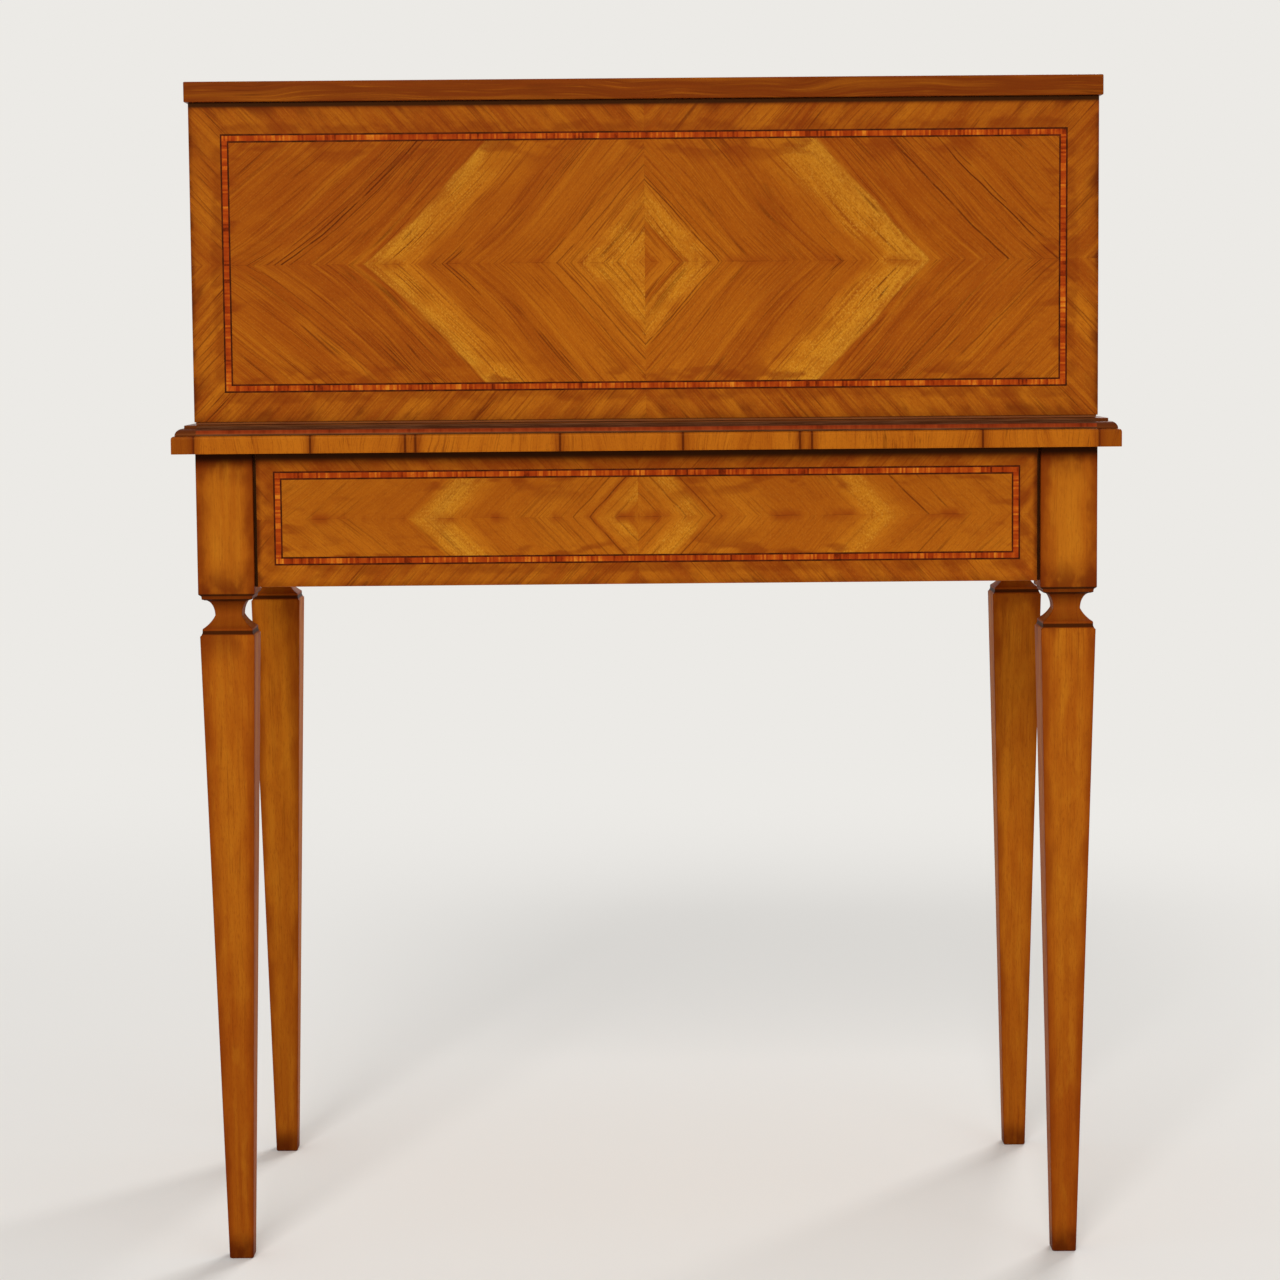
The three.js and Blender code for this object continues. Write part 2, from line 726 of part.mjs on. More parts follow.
// The shelves end in their dados
function shelves() {
  const shelfList = [];
  const bayReach = bayWidth / 2 + dadoDepth - glueGap;
  const bay = [[-bayReach, bayReach], pigeonholeShelfDepth, pigeonholeShelfHeights];
  shelfList.push(board("pigeonhole_shelf", "walnut", bay));
  for (const [name, side] of [["left", -1], ["right", 1]]) {
    const inner = side * (bayOutside - dadoDepth + glueGap);
    const outer = side * (caseInsideWidth + dadoDepth - glueGap);
    const stretches = [span(inner, outer), cupboardShelfDepth, cupboardShelfHeights];
    shelfList.push(board(`${name}_cupboard_shelf`, "lining", stretches));
  }
  return shelfList;
}

// A block under the case's top, behind each door's free edge
function doorStop(name, side) {
  const start = side * (bayOutside + glueGap);
  const doorBack = caseDepth - doorThickness - runningGap;
  const ys = [doorBack - doorStopSide, doorBack];
  const top = caseCeiling - glueGap;
  const xs = span(start, start + side * doorStopLength);
  return board(name, "lining", [xs, ys, [top - doorStopSide, top]]);
}

// One of the two small drawers in the middle bay
function smallDrawer(name, side) {
  const group = new THREE.Group();
  const cellWidth = (bayWidth - dividerThickness) / 2;
  const cellMiddle = (side * (dividerThickness + cellWidth)) / 2;
  const floor = caseFloor + runningGap;
  group.position.set(cellMiddle, smallDrawerFace, floor);
  const halfWidth = cellWidth / 2 - slidingGap;
  const height = pigeonholeFloor - slidingGap - floor;
  const frontStretches = [[-halfWidth, halfWidth], [-smallFrontThickness, 0], [0, height]];
  group.add(board(`${name}_small_drawer_front`, "walnut", frontStretches));
  const boxY = [-smallDrawerDepth, -smallFrontThickness - glueGap];
  const boxHeight = height * smallBoxHeightShare;
  const inside = [
    around(0, 2 * (halfWidth - smallWallThickness)),
    [boxY[0] + smallWallThickness, boxY[1] - smallWallThickness],
    [smallBottomThickness, boxHeight + overrun],
  ];
  const boxStretches = [[-halfWidth, halfWidth], boxY, [0, boxHeight]];
  group.add(board(`${name}_small_drawer_box`, "lining", boxStretches, { cut: [inside] }));
  const knobName = `${name}_small_drawer_knob`;
  group.add(knob(knobName, smallKnobRadius, smallKnobReach, 0, 0, height / 2));
  return group;
}

// The upper case. Its own frame starts at the finished back's face and at the desk top.
function upperCase() {
  const group = new THREE.Group();
  group.position.set(0, -halfFrameDepth, writingHeight);
  const underTop = caseCeiling - glueGap;
  const backX = [-halfFrameWidth, halfFrameWidth];
  group.add(board("case_back_panel", "veneer", [backX, [0, caseBackThickness], [caseLift, underTop]]));
  group.add(caseSide("case_left_side", -1));
  group.add(caseSide("case_right_side", 1));
  const bottomHalf = caseInsideWidth - glueGap;
  const bottomY = [caseInsideBack, smallDrawerFace];
  const bottomZ = [glueGap, caseFloor];
  group.add(board("case_bottom", "walnut", [[-bottomHalf, bottomHalf], bottomY, bottomZ]));
  const topX = widened(backX, caseTopOverhang);
  const topY = widened([0, caseDepth], caseTopOverhang);
  const topZ = [caseCeiling, caseCeiling + caseTopThickness];
  group.add(board("case_top", "edging", [topX, topY, topZ]));
  group.add(partition("left_partition", -1));
  group.add(partition("right_partition", 1));
  group.add(...shelves());
  const dividerX = around(0, dividerThickness);
  const dividerZ = [caseFloor + glueGap, pigeonholeFloor - glueGap];
  group.add(board("small_drawer_divider", "walnut", [dividerX, pigeonholeShelfDepth, dividerZ]));
  group.add(doorStop("left_door_stop", -1));
  group.add(doorStop("right_door_stop", 1));
  group.add(...caseLeaves());
  group.add(door("left", -1));
  group.add(door("right", 1));
  group.add(smallDrawer("left", -1));
  group.add(smallDrawer("right", 1));
  return group;
}

function table() {
  const group = new THREE.Group();
  group.add(...legs());
  group.add(backApron());
  group.add(sideApron("left_apron", -1));
  group.add(sideApron("right_apron", 1));
  group.add(frontRail("front_bottom_rail", apronBottom, bottomRailTop, railTenonHeights[0]));
  group.add(frontRail("front_slide_rail", slideRailBottom, slideRailTop, railTenonHeights[1]));
  const guideTop = bottomRailTop + runnerGuideHeight;
  const slideGuideTop = deskTopUnderside - glueGap;
  for (const [name, side] of [["left", -1], ["right", 1]]) {
    group.add(runner(`drawer_runner_${name}`, side, bottomRailTop, runnerThickness, guideTop));
    group.add(runner(`slide_guide_${name}`, side, slideRailTop, slideRailHeight, slideGuideTop));
  }
  group.add(deskTop());
  group.add(...mouldings());
  return group;
}

const desk = new THREE.Group();
desk.add(table());
desk.add(friezeDrawer());
desk.add(writingSlide());
desk.add(upperCase());

export default desk;
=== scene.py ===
# %% [markdown]
# Dressing a bonheur-du-jour
#
# A bonheur-du-jour is a lady's small writing desk. This one is veneered in walnut, with an
# upper case at the back of its desk top and four square tapered legs. Its solids come with
# their real sizes and joints, and this notebook gives them their surfaces: eased edges,
# matched veneer, inlaid bands, turned brass and green leather. The solids could simply be
# painted, but polished furniture shows its softened edges first. So most pieces are made
# again here, from the solids' own sizes, and each new piece stands in for its solid.

# %% Load the solids
import json
import math

import bmesh
import bpy
from mathutils import Matrix, Vector


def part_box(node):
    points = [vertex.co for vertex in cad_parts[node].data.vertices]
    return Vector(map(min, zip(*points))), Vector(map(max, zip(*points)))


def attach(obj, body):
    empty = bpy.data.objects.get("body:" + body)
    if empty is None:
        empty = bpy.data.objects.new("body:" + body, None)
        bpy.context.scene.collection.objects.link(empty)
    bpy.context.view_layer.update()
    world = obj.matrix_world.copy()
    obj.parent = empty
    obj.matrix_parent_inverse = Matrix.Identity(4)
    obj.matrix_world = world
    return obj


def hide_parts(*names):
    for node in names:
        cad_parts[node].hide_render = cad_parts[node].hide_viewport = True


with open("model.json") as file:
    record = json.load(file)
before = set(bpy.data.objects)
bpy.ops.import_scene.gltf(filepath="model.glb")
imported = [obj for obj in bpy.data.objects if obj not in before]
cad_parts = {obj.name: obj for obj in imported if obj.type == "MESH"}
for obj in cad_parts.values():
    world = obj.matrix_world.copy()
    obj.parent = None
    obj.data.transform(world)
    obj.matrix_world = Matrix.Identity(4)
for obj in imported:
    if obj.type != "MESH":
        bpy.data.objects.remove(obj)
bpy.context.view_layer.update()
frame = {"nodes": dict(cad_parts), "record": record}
MM = 0.001
BODY_OF = {
    node: body
    for body, nodes in frame["record"]["behaviour"]["bodies"].items()
    for node in nodes
}


def solid_corners(node):
    """A solid's lowest and highest corner, in millimetres"""
    low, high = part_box(node)
    return low / MM, high / MM


# %% [markdown]
# The camera
#
# The camera stands where the photographer stood. Its place, turn and focal length were
# worked out from some forty corners and edges of the desk, so the desk falls on the same
# pixels of a square picture. A camera can also be aimed with a Track To constraint, but a
# matrix built from yaw, pitch and roll keeps the slight roll of a hand-held camera.

# %% Place the camera
PICTURE_SIDE = 1280
FOCAL_LENGTH_PIXELS = 3288.37
SENSOR_WIDTH = 36
CAMERA_PLACE = Vector((-10.8, -3186.8, 849.8)) * MM
CAMERA_YAW = 0.0012
CAMERA_PITCH = -0.0933
CAMERA_ROLL = -0.0085


def turned_camera(yaw, pitch, roll):
    """The turn of a camera that looks along +Y when all three angles are zero"""
    ahead = Vector((math.sin(yaw) * math.cos(pitch), math.cos(yaw) * math.cos(pitch), math.sin(pitch)))
    right = Vector((math.cos(yaw), -math.sin(yaw), 0))
    up = right.cross(ahead)
    picture_right = math.cos(roll) * right + math.sin(roll) * up
    picture_up = math.cos(roll) * up - math.sin(roll) * right
    return Matrix((picture_right, picture_up, -ahead)).transposed().to_4x4()


lens = bpy.data.cameras.new("camera")
lens.sensor_width = SENSOR_WIDTH
lens.lens = FOCAL_LENGTH_PIXELS / PICTURE_SIDE * SENSOR_WIDTH
camera = bpy.data.objects.new("camera", lens)
bpy.context.scene.collection.objects.link(camera)
turn = turned_camera(CAMERA_YAW, CAMERA_PITCH, CAMERA_ROLL)
camera.matrix_world = Matrix.Translation(CAMERA_PLACE) @ turn
bpy.context.scene.camera = camera
bpy.context.scene.view_settings.view_transform = "Standard"
print("Focal length:", round(lens.lens, 2), "mm")

# %% [markdown]
# Writing materials as sums
#
# A procedural material is a sum over a surface: how far a point lies across the grain, how
# dark that streak is, how much of it wear has taken away. Such a sum can be wired by hand
# in the node editor, or written with one call for each node. Here a small class wraps a
# socket, so that `1 - mask * 0.5` adds the Math nodes by itself and reads as what it means.

# %% A socket that can be added, multiplied and compared


class Value:
    """One output socket of a node tree. Sums on it add Math nodes to that tree."""

    def __init__(self, tree, socket=None):
        self.tree = tree
        self.socket = socket

    def node(self, kind, settings, inputs, output=None):
        """Add a node. Its settings are set first, then its inputs, which are named by identifier."""
        made = self.tree.nodes.new(kind)
        for name, setting in settings.items():
            if name == "stops":
                write_stops(made.color_ramp, setting)
            else:
                setattr(made, name, setting)
        sockets = {socket.identifier: socket for socket in made.inputs}
        for name, value in inputs.items():
            if isinstance(value, Value):
                self.tree.links.new(value.socket, sockets[name])
            else:
                sockets[name].default_value = value
        if not made.outputs:
            return None
        results = {socket.identifier: socket for socket in made.outputs}
        return Value(self.tree, results[output] if output else made.outputs[0])

    def sibling(self, output):
        """Another output of the same node"""
        return Value(self.tree, self.socket.node.outputs[output])

    def math(self, operation, *others):
        names = ("Value", "Value_001", "Value_002")
        return self.node("ShaderNodeMath", {"operation": operation}, dict(zip(names, (self, *others))))

    def __add__(self, other):
        return self.math("ADD", other)

    __radd__ = __add__

    def __sub__(self, other):
        return self.math("SUBTRACT", other)

    def __rsub__(self, other):
        return self.math("MULTIPLY_ADD", -1, other)

    def __mul__(self, other):
        return self.math("MULTIPLY", other)

    __rmul__ = __mul__

    def __truediv__(self, other):
        return self.math("DIVIDE", other)

    def __abs__(self):
        return self.math("ABSOLUTE")

    def least(self, other):
        return self.math("MINIMUM", other)

    def most(self, other):
        return self.math("MAXIMUM", other)

    def over(self, limit):
        """1 where the value is over the limit, else 0"""
        return self.math("GREATER_THAN", limit)

    def rise(self, low, high):
        """A smooth step from 0 at low to 1 at high. It falls if low is the larger one."""
        settings = {"interpolation_type": "SMOOTHSTEP"}
        inputs = {"Value": self, "From Min": low, "From Max": high}
        return self.node("ShaderNodeMapRange", settings, inputs)


# %% Colours and noise


def write_stops(ramp, stops):
    """Put stops of (place from 0 to 1, colour) on a colour ramp"""
    for _ in range(len(stops) - len(ramp.elements)):
        ramp.elements.new(1)
    for element, (place, colour) in zip(ramp.elements, stops):
        element.position = place
        element.color = colour


def colour(red, green, blue):
    """A colour as a screen shows it, from 0 to 255, as the linear colour a shader needs"""

    def linear(level):
        share = level / 255
        return share / 12.92 if share <= 0.04045 else ((share + 0.055) / 1.055) ** 2.4

    return (linear(red), linear(green), linear(blue), 1)


def coloured(start, stops, place):
    """The colour that a ramp of stops has at a place from 0 to 1"""
    return start.node("ShaderNodeValToRGB", {"stops": stops}, {"Fac": place})


def mixed(share, one, other):
    """From colour one at a share of 0 to colour other at a share of 1"""
    inputs = {"Factor_Float": share, "A_Color": one, "B_Color": other}
    return share.node("ShaderNodeMix", {"data_type": "RGBA"}, inputs, "Result_Color")


def noise(x, y, z, detail=1.0, roughness=0.5):
    """Smooth noise from 0 to 1, with one lump to a unit along each of its three values"""
    start = next(value for value in (x, y, z) if isinstance(value, Value))
    place = start.node("ShaderNodeCombineXYZ", {}, {"X": x, "Y": y, "Z": z})
    inputs = {"Vector": place, "Scale": 1.0, "Detail": detail, "Roughness": roughness}
    return place.node("ShaderNodeTexNoise", {"noise_dimensions": "3D"}, inputs)


print("Screen white and half grey:", colour(255, 255, 255)[0], round(colour(128, 128, 128)[0], 3))

# %% Where a surface lies, and how a material starts and ends


def outside_of(value, limits):
    """How far a value lies outside its limits, in millimetres; negative inside them"""
    middle = sum(limits) / 2
    return abs(value - middle) - (limits[1] - limits[0]) / 2


def new_material(name):
    """An empty material, and a value that adds nodes to its tree"""
    material = bpy.data.materials.new(name)
    material.use_nodes = True
    material.node_tree.nodes.clear()
    return material, Value(material.node_tree)


def surface_place(start):
    """The surface's own place in millimetres, as three values. No piece's object is moved."""
    here = start.node("ShaderNodeTexCoord", {}, {}, "Object")
    x = here.node("ShaderNodeSeparateXYZ", {}, {"Vector": here})
    return [x / MM, x.sibling("Y") / MM, x.sibling("Z") / MM]


def bumped(start, strength, depth, height):
    """A normal that follows a height from 0 to 1, which stands for a depth in millimetres"""
    inputs = {"Strength": strength, "Distance": depth * MM, "Height": height}
    return start.node("ShaderNodeBump", {}, inputs, "Normal")


def give_surface(start, inputs):
    """End a material in one Principled shader with these inputs"""
    shader = start.node("ShaderNodeBsdfPrincipled", {}, inputs)
    start.node("ShaderNodeOutputMaterial", {}, {"Surface": shader})


# %% [markdown]
# The stage
#
# A plain pale floor takes the desk's shadow. Its far end and the world behind it share one
# pale tone, so that no horizon cuts the picture. That tone shows only to the camera and in
# reflections and glass: the light that falls on the desk comes from a dimmer sky and three
# lamps. A white wall could do the same, but it would stand in the way of a camera that
# walks round the desk.

# %% Light the world
PALE = colour(236, 234, 230)
SKY_LIGHT = 0.45


def seen_directly(start):
    """1 for camera rays, reflections and rays through glass, else 0"""
    path = start.node("ShaderNodeLightPath", {}, {}, "Is Camera Ray")
    return path.most(path.sibling("Is Glossy Ray")).most(path.sibling("Is Transmission Ray"))


def build_world():
    world = bpy.data.worlds.new("studio")
    world.use_nodes = True
    world.node_tree.nodes.clear()
    start = Value(world.node_tree)
    sky = start.node("ShaderNodeBackground", {}, {"Color": (1, 1, 1, 1), "Strength": SKY_LIGHT})
    pale = start.node("ShaderNodeBackground", {}, {"Color": PALE, "Strength": 1.0})
    share = {"Fac": seen_directly(start), "Shader": sky, "Shader_001": pale}
    start.node("ShaderNodeOutputWorld", {}, {"Surface": start.node("ShaderNodeMixShader", {}, share)})
    return world


bpy.context.scene.world = build_world()
print("Sky light:", SKY_LIGHT)

# %% Lay the floor
FLOOR_RADIUS = 40000
FLOOR_SIDES = 96
SHADOW_FLOOR_RADIUS = 1300
HORIZON_RADIUS = 3300


def floor_material():
    """Pale and matt near the desk, to take its shadow, and plain pale light far from it"""
    material, start = new_material("floor")
    x, y, _ = surface_place(start)
    distance = (x * x + y * y).math("SQRT")
    far = distance.rise(SHADOW_FLOOR_RADIUS, HORIZON_RADIUS) * seen_directly(start)
    near = start.node("ShaderNodeBsdfDiffuse", {}, {"Color": PALE})
    glow = start.node("ShaderNodeEmission", {}, {"Color": PALE, "Strength": 1.0})
    shown = start.node("ShaderNodeMixShader", {}, {"Fac": far, "Shader": near, "Shader_001": glow})
    start.node("ShaderNodeOutputMaterial", {}, {"Surface": shown})
    return material


def build_floor():
    disc = bmesh.new()
    bmesh.ops.create_circle(disc, cap_ends=True, segments=FLOOR_SIDES, radius=FLOOR_RADIUS * MM)
    mesh = bpy.data.meshes.new("floor")
    disc.to_mesh(mesh)
    disc.free()
    mesh.materials.append(floor_material())
    floor = bpy.data.objects.new("floor", mesh)
    bpy.context.scene.collection.objects.link(floor)
    return floor


floor = build_floor()
print("Floor:", floor.dimensions.x, "m across")

# %% [markdown]
# The lamps
#
# Three large soft boxes: a key light a little to the left of the finished back and above
# it, a weak fill at its right, and one behind for the writer's side. The key stands close
# to the camera's own direction, as a photographer's flash does, so the legs' inner sides
# stay dark. Their strengths are given as shares of the plain level, at which a white card
# facing the lamp would render just white. A lamp's watts follow from that share and the
# square of its distance.

# %% Hang three soft boxes
LAMP_TARGET = Vector((0, 0, 700)) * MM
LAMPS = {
    "key": {"place": (-1300, -7600, 4600), "side": 2600, "share": 0.46},
    "fill": {"place": (4600, -6800, 1300), "side": 3400, "share": 0.12},
    "back": {"place": (3400, 7400, 6500), "side": 3800, "share": 0.5},
}


def hang_lamp(name, place, side, share):
    light = bpy.data.lights.new(name, "AREA")
    light.shape = "SQUARE"
    light.size = side * MM
    lamp = bpy.data.objects.new(name, light)
    bpy.context.scene.collection.objects.link(lamp)
    lamp.location = Vector(place) * MM
    towards = LAMP_TARGET - lamp.location
    lamp.rotation_euler = towards.to_track_quat("-Z", "Y").to_euler()
    light.energy = share * (math.pi * towards.length) ** 2
    lamp.visible_camera = False
    return light


for lamp_name, lamp in LAMPS.items():
    print(lamp_name, round(hang_lamp(lamp_name, **lamp).energy), "W")

# %% [markdown]
# Walnut, as a sum of layers
#
# Old polished walnut has layers: broad bands of honey and chestnut, fine streaks that run
# with the grain, a few dark growth lines, and pores like short pencil strokes. Blender's
# Wave texture gives evenly spaced rings that look like plastic. Stretched noise is better:
# one value says how far a point lies across the grain, another how far along it, and each
# layer is noise that is squeezed across and drawn out along.

# %% The colours of the wood
GOLD = colour(190, 118, 23)
AMBER = colour(180, 103, 18)
HONEY = colour(162, 84, 12)
CHESTNUT = colour(145, 67, 9)
MAHOGANY = colour(112, 40, 5)
UMBER = colour(72, 19, 2)
EBONY = colour(32, 10, 3)
AMBER_SHEEN = (1.0, 0.42, 0.12, 1)
SMEAR = 0.18
PORE_DEPTH = 0.12


def figured(base, across, along, seed, strength=1.0, slashes=0.6, wander=26):
    """The wood's figure laid over a base colour, and how clear of pores it is.

    across, along and wander, how far the grain strays sideways, are in millimetres. Returns
    a colour and a height from 0 to 1."""
    line = across + (noise(across / 55, along / 120, seed) - 0.5) * wander
    broad = noise(line / 9, along / 210, seed + 1.7, 2)
    streak = noise(line / 1.4, along / 75, seed + 6.3, 3, 0.65)
    ring = abs(noise(line / 7, along / 420, seed + 8.9) - 0.5)
    patch = noise(line / 26, along / 60, seed + 11.3)
    slash = noise(line / 1.8, along / 74, seed + 15.1, 2, 0.55)
    cluster = noise(line / 30, along / 68, seed + 19.3).rise(0.54, 0.66)
    pore = noise(line / 0.7, along / 6, seed + 13.9, 2).rise(0.52, 0.7)
    growth = ring.rise(0.03, 0.004) * patch.rise(0.5, 0.62)
    wood = mixed(broad.rise(0.5, 0.74) * (0.55 * strength), base, AMBER)
    wood = mixed(broad.rise(0.5, 0.26) * (0.6 * strength), wood, CHESTNUT)
    wood = mixed(streak.rise(0.52, 0.74) * (0.55 * strength), wood, AMBER)
    wood = mixed(streak.rise(0.5, 0.3) * (0.65 * strength), wood, MAHOGANY)
    wood = mixed(growth * (0.55 * strength), wood, UMBER)
    wood = mixed(slash.rise(0.56, 0.7) * cluster * slashes, wood, UMBER)
    wood = mixed(pore * 0.3, wood, MAHOGANY)
    return wood, 1 - pore


def varnished(start, wood, height, roughness=0.4, gloss=0.16):
    """A French-polished surface. Old shellac is amber, and so is what it reflects."""
    smear = noise(*[value / 60 for value in surface_place(start)], 2)
    inputs = {
        "Base Color": wood,
        "Roughness": smear * SMEAR + (roughness - SMEAR / 2),
        "Normal": bumped(start, 0.3, PORE_DEPTH, height),
        "Specular IOR Level": gloss,
        "Specular Tint": AMBER_SHEEN,
    }
    give_surface(start, inputs)


# %% [markdown]
# Solid wood
#
# Rails, partitions and drawer sides are cut from solid boards, and their grain runs the
# long way of the board. In a real board the growth rings are circles round a pith that lies
# somewhere outside it, and the faces show those circles cut lengthwise. So the value across
# the grain is the distance from such a pith, which also gives end grain its arcs.

# %% Solid wood with its grain along one axis
PITH_OFFSET = (170, 230)


def solid_wood(name, grain_axis, base, seed, strength=0.8):
    material, start = new_material(name)
    place = surface_place(start)
    along = place.pop(grain_axis)
    first = place[0] + PITH_OFFSET[0]
    second = place[1] + PITH_OFFSET[1]
    across = (first * first + second * second).math("SQRT")
    wood, height = figured(base, across, along, seed, strength)
    varnished(start, wood, height)
    return material


X, Y, Z = 0, 1, 2
DARK_WALNUT = colour(108, 43, 6)
WALNUT = [solid_wood(f"walnut_{axis}", i, HONEY, 2.0 + i) for i, axis in enumerate("xyz")]
DARK_EDGE = [solid_wood(f"dark_edge_{axis}", i, DARK_WALNUT, 21.0 + i, 0.6) for i, axis in enumerate("xy")]

# %% Pale lining and carcase wood
SATINWOOD = colour(206, 158, 86)
DEAL = colour(188, 138, 78)
PALE_STREAK = colour(160, 108, 50)


def pale_wood(name, grain_axis, base, seed):
    """Unpolished lining or carcase wood, with the same grain in paler colours"""
    material, start = new_material(name)
    place = surface_place(start)
    along = place.pop(grain_axis)
    across = place[0] + place[1]
    line = across + (noise(across / 60, along / 200, seed) - 0.5) * 20
    streak = noise(line / 2.4, along / 130, seed + 3.3, 3).rise(0.45, 0.75)
    broad = noise(line / 18, along / 300, seed + 5.1, 2).rise(0.4, 0.7)
    pore = noise(line / 0.6, along / 8, seed + 9.7).rise(0.64, 0.74)
    wood = mixed(broad * 0.45, base, colour(218, 174, 104))
    wood = mixed(streak * 0.4, wood, PALE_STREAK)
    wood = mixed(pore * 0.35, wood, colour(120, 76, 34))
    varnished(start, wood, 1 - pore, 0.6)
    return material


LINING = [pale_wood(f"lining_{axis}", i, SATINWOOD, 31.0 + i) for i, axis in enumerate("xyz")]
CARCASE = [pale_wood(f"carcase_{axis}", i, DEAL, 41.0 + i) for i, axis in enumerate("xyz")]
print("Woods:", [wood.name for wood in WALNUT + DARK_EDGE + LINING + CARCASE])

# %% [markdown]
# The veneered faces
#
# Every panel is laid out in the same way: an inlaid band runs round it near its edge. Four
# leaves of veneer meet in the middle inside the band, and crossbanding fills the rest. A
# small class holds each face's axes, edges and band, worked out from the solid, so that the
# veneer, the slips and the strings all use the same places.

# %% Where each face, its middle and its band lie
STRING_WIDTH = 1.5
CORE_WIDTH = 4.6
BAND_WIDTH = CORE_WIDTH + 2 * STRING_WIDTH


class Face:
    """One flat face of a solid, in millimetres. Its two axes are the ones it doesn't face along.

    insets are how far the band lies inside the face's sides, foot and top."""

    def __init__(self, node, out, insets, across_limits=None, up_limits=None, match_shift=(0, 0)):
        low, high = solid_corners(node)
        self.node = node
        self.out = Vector(out)
        self.axes = [axis for axis in range(3) if out[axis] == 0]
        facing = next(axis for axis in range(3) if out[axis] != 0)
        self.level = high[facing] if out[facing] > 0 else low[facing]
        across, up = self.axes
        self.across = across_limits or (low[across], high[across])
        self.up = up_limits or (low[up], high[up])
        side, below, above = insets
        self.border = min(insets)
        self.band_across = (self.across[0] + side, self.across[1] - side)
        self.band_up = (self.up[0] + below, self.up[1] - above)
        middle = (sum(self.band_across) / 2, sum(self.band_up) / 2)
        self.match = (middle[0] + match_shift[0], middle[1] + match_shift[1])

    def place(self, across, up, lift=0.0):
        """The point on the face at these two places, lifted off it by so many millimetres"""
        point = self.out * (self.level * sum(self.out) + lift)
        point[self.axes[0]] = across
        point[self.axes[1]] = up
        return point


# %% [markdown]
# Quarter-matched veneer
#
# The four leaves are cut one after another from one log, so they share their figure, and
# the cabinetmaker turns them to mirror each other about the middle. Their slanting grain
# closes into diamonds there. In the material this is the absolute value of the place: the
# grain of all four leaves runs along lines on which `side + lean * height` stays the same.
# A little of the side's square fans those lines out, as grain does towards a root.
# A ramp over that sum gives the golden middle, the brown fields and the bright chevrons.
# Outside the band the slant changes its sign, as the crossbanding's does.

# %% Measure a place in four mirrored leaves
GRAIN_LEAN = 0.9
GRAIN_SCALE = 0.74
LEFT_FAN = 5.5e-6
RIGHT_FAN = 1.5e-6


class LeafPlace:
    """Where a point of a face lies in its four mirrored leaves. Its lengths are in millimetres."""

    def __init__(self, start, face):
        place = surface_place(start)
        self.start = start
        self.face = face
        self.across = place[face.axes[0]]
        self.up = place[face.axes[1]]
        self.side = abs(self.across - face.match[0])
        self.height = abs(self.up - face.match[1])
        self.on_right = (self.across - face.match[0]).over(0)
        self.on_top = (self.up - face.match[1]).over(0)
        self.leaf = self.on_right * 0.21 + self.on_top * 0.13
        beyond_side = outside_of(self.across, face.band_across)
        self.beyond_band = beyond_side.most(outside_of(self.up, face.band_up))
        self.in_border = self.beyond_band.over(-BAND_WIDTH / 2)
        self.in_field = 1 - self.in_border
        slant = 1 - self.in_border * 2
        spread = self.on_right * (RIGHT_FAN - LEFT_FAN) + LEFT_FAN
        fan = self.side * self.side * spread * self.in_field
        self.diamond = self.side + slant * self.height * (fan + GRAIN_LEAN)
        self.along = (self.height - slant * self.side * GRAIN_LEAN) * GRAIN_SCALE
        self.to_edge = 0 - outside_of(self.across, face.across).most(outside_of(self.up, face.up))


# %% The colours and the dark lines of the leaves


def striped(at, stripes, seed):
    """The field's colours: each half's ramp over its diamonds, with cloudy patches"""
    frayed = at.diamond.rise(30, 130) * 9 + 5
    fuzz = (noise(at.diamond / 9, at.along / 34, at.leaf + seed, 3) - 0.5) * frayed
    reach = stripes[0][-1][0]
    halves = []
    for half in stripes:
        stops = [(distance / reach, tint) for distance, tint in half]
        halves.append(coloured(at.start, stops, (at.diamond + fuzz) / reach))
    cloud = noise(at.side / 42, at.height / 30, at.leaf * 9 + seed + 41, 2)
    return mixed(cloud.rise(0.56, 0.36) * 0.55, mixed(at.on_right, *halves), HONEY)


def crossbanded(at, seed):
    """The border's colours"""
    tone = noise(at.diamond / 26, at.along / 70, at.leaf * 5 + seed + 37, 2)
    return mixed(tone.rise(0.3, 0.75), CHESTNUT, colour(175, 98, 16))


def with_growth_lines(wood, at, lines, seed):
    """Thin dark lines that fade in and out along the grain"""
    for distance, half_width, upper_left, lower_left, upper_right, lower_right in lines:
        fade = noise(at.along / 36, distance, at.leaf * 7 + seed, 2).rise(0.32, 0.5)
        bend = (noise(at.along / 52, distance / 9, seed + 5, 2) - 0.5) * 8
        thin = abs(at.diamond + bend - distance).rise(half_width, 0.2) * at.in_field
        left = at.on_top * (upper_left - lower_left) + lower_left
        right = at.on_top * (upper_right - lower_right) + lower_right
        wood = mixed(thin * fade * (at.on_right * (right - left) + left), wood, UMBER)
    return wood


def with_flecks(wood, base, at, seed):
    """Short bright and dark flecks, thickest where the base colour is golden"""
    fleck = noise(at.side / 1.5, at.height / 1.9, at.leaf + seed + 17, 2, 0.6)
    golden = base.node("ShaderNodeSeparateColor", {}, {"Color": base}, "Green").rise(0.125, 0.17)
    wood = mixed(fleck.rise(0.52, 0.7) * (golden * 0.45 + 0.1), wood, colour(206, 142, 46))
    return mixed(fleck.rise(0.46, 0.3) * (golden * 0.35 + 0.2), wood, CHESTNUT)
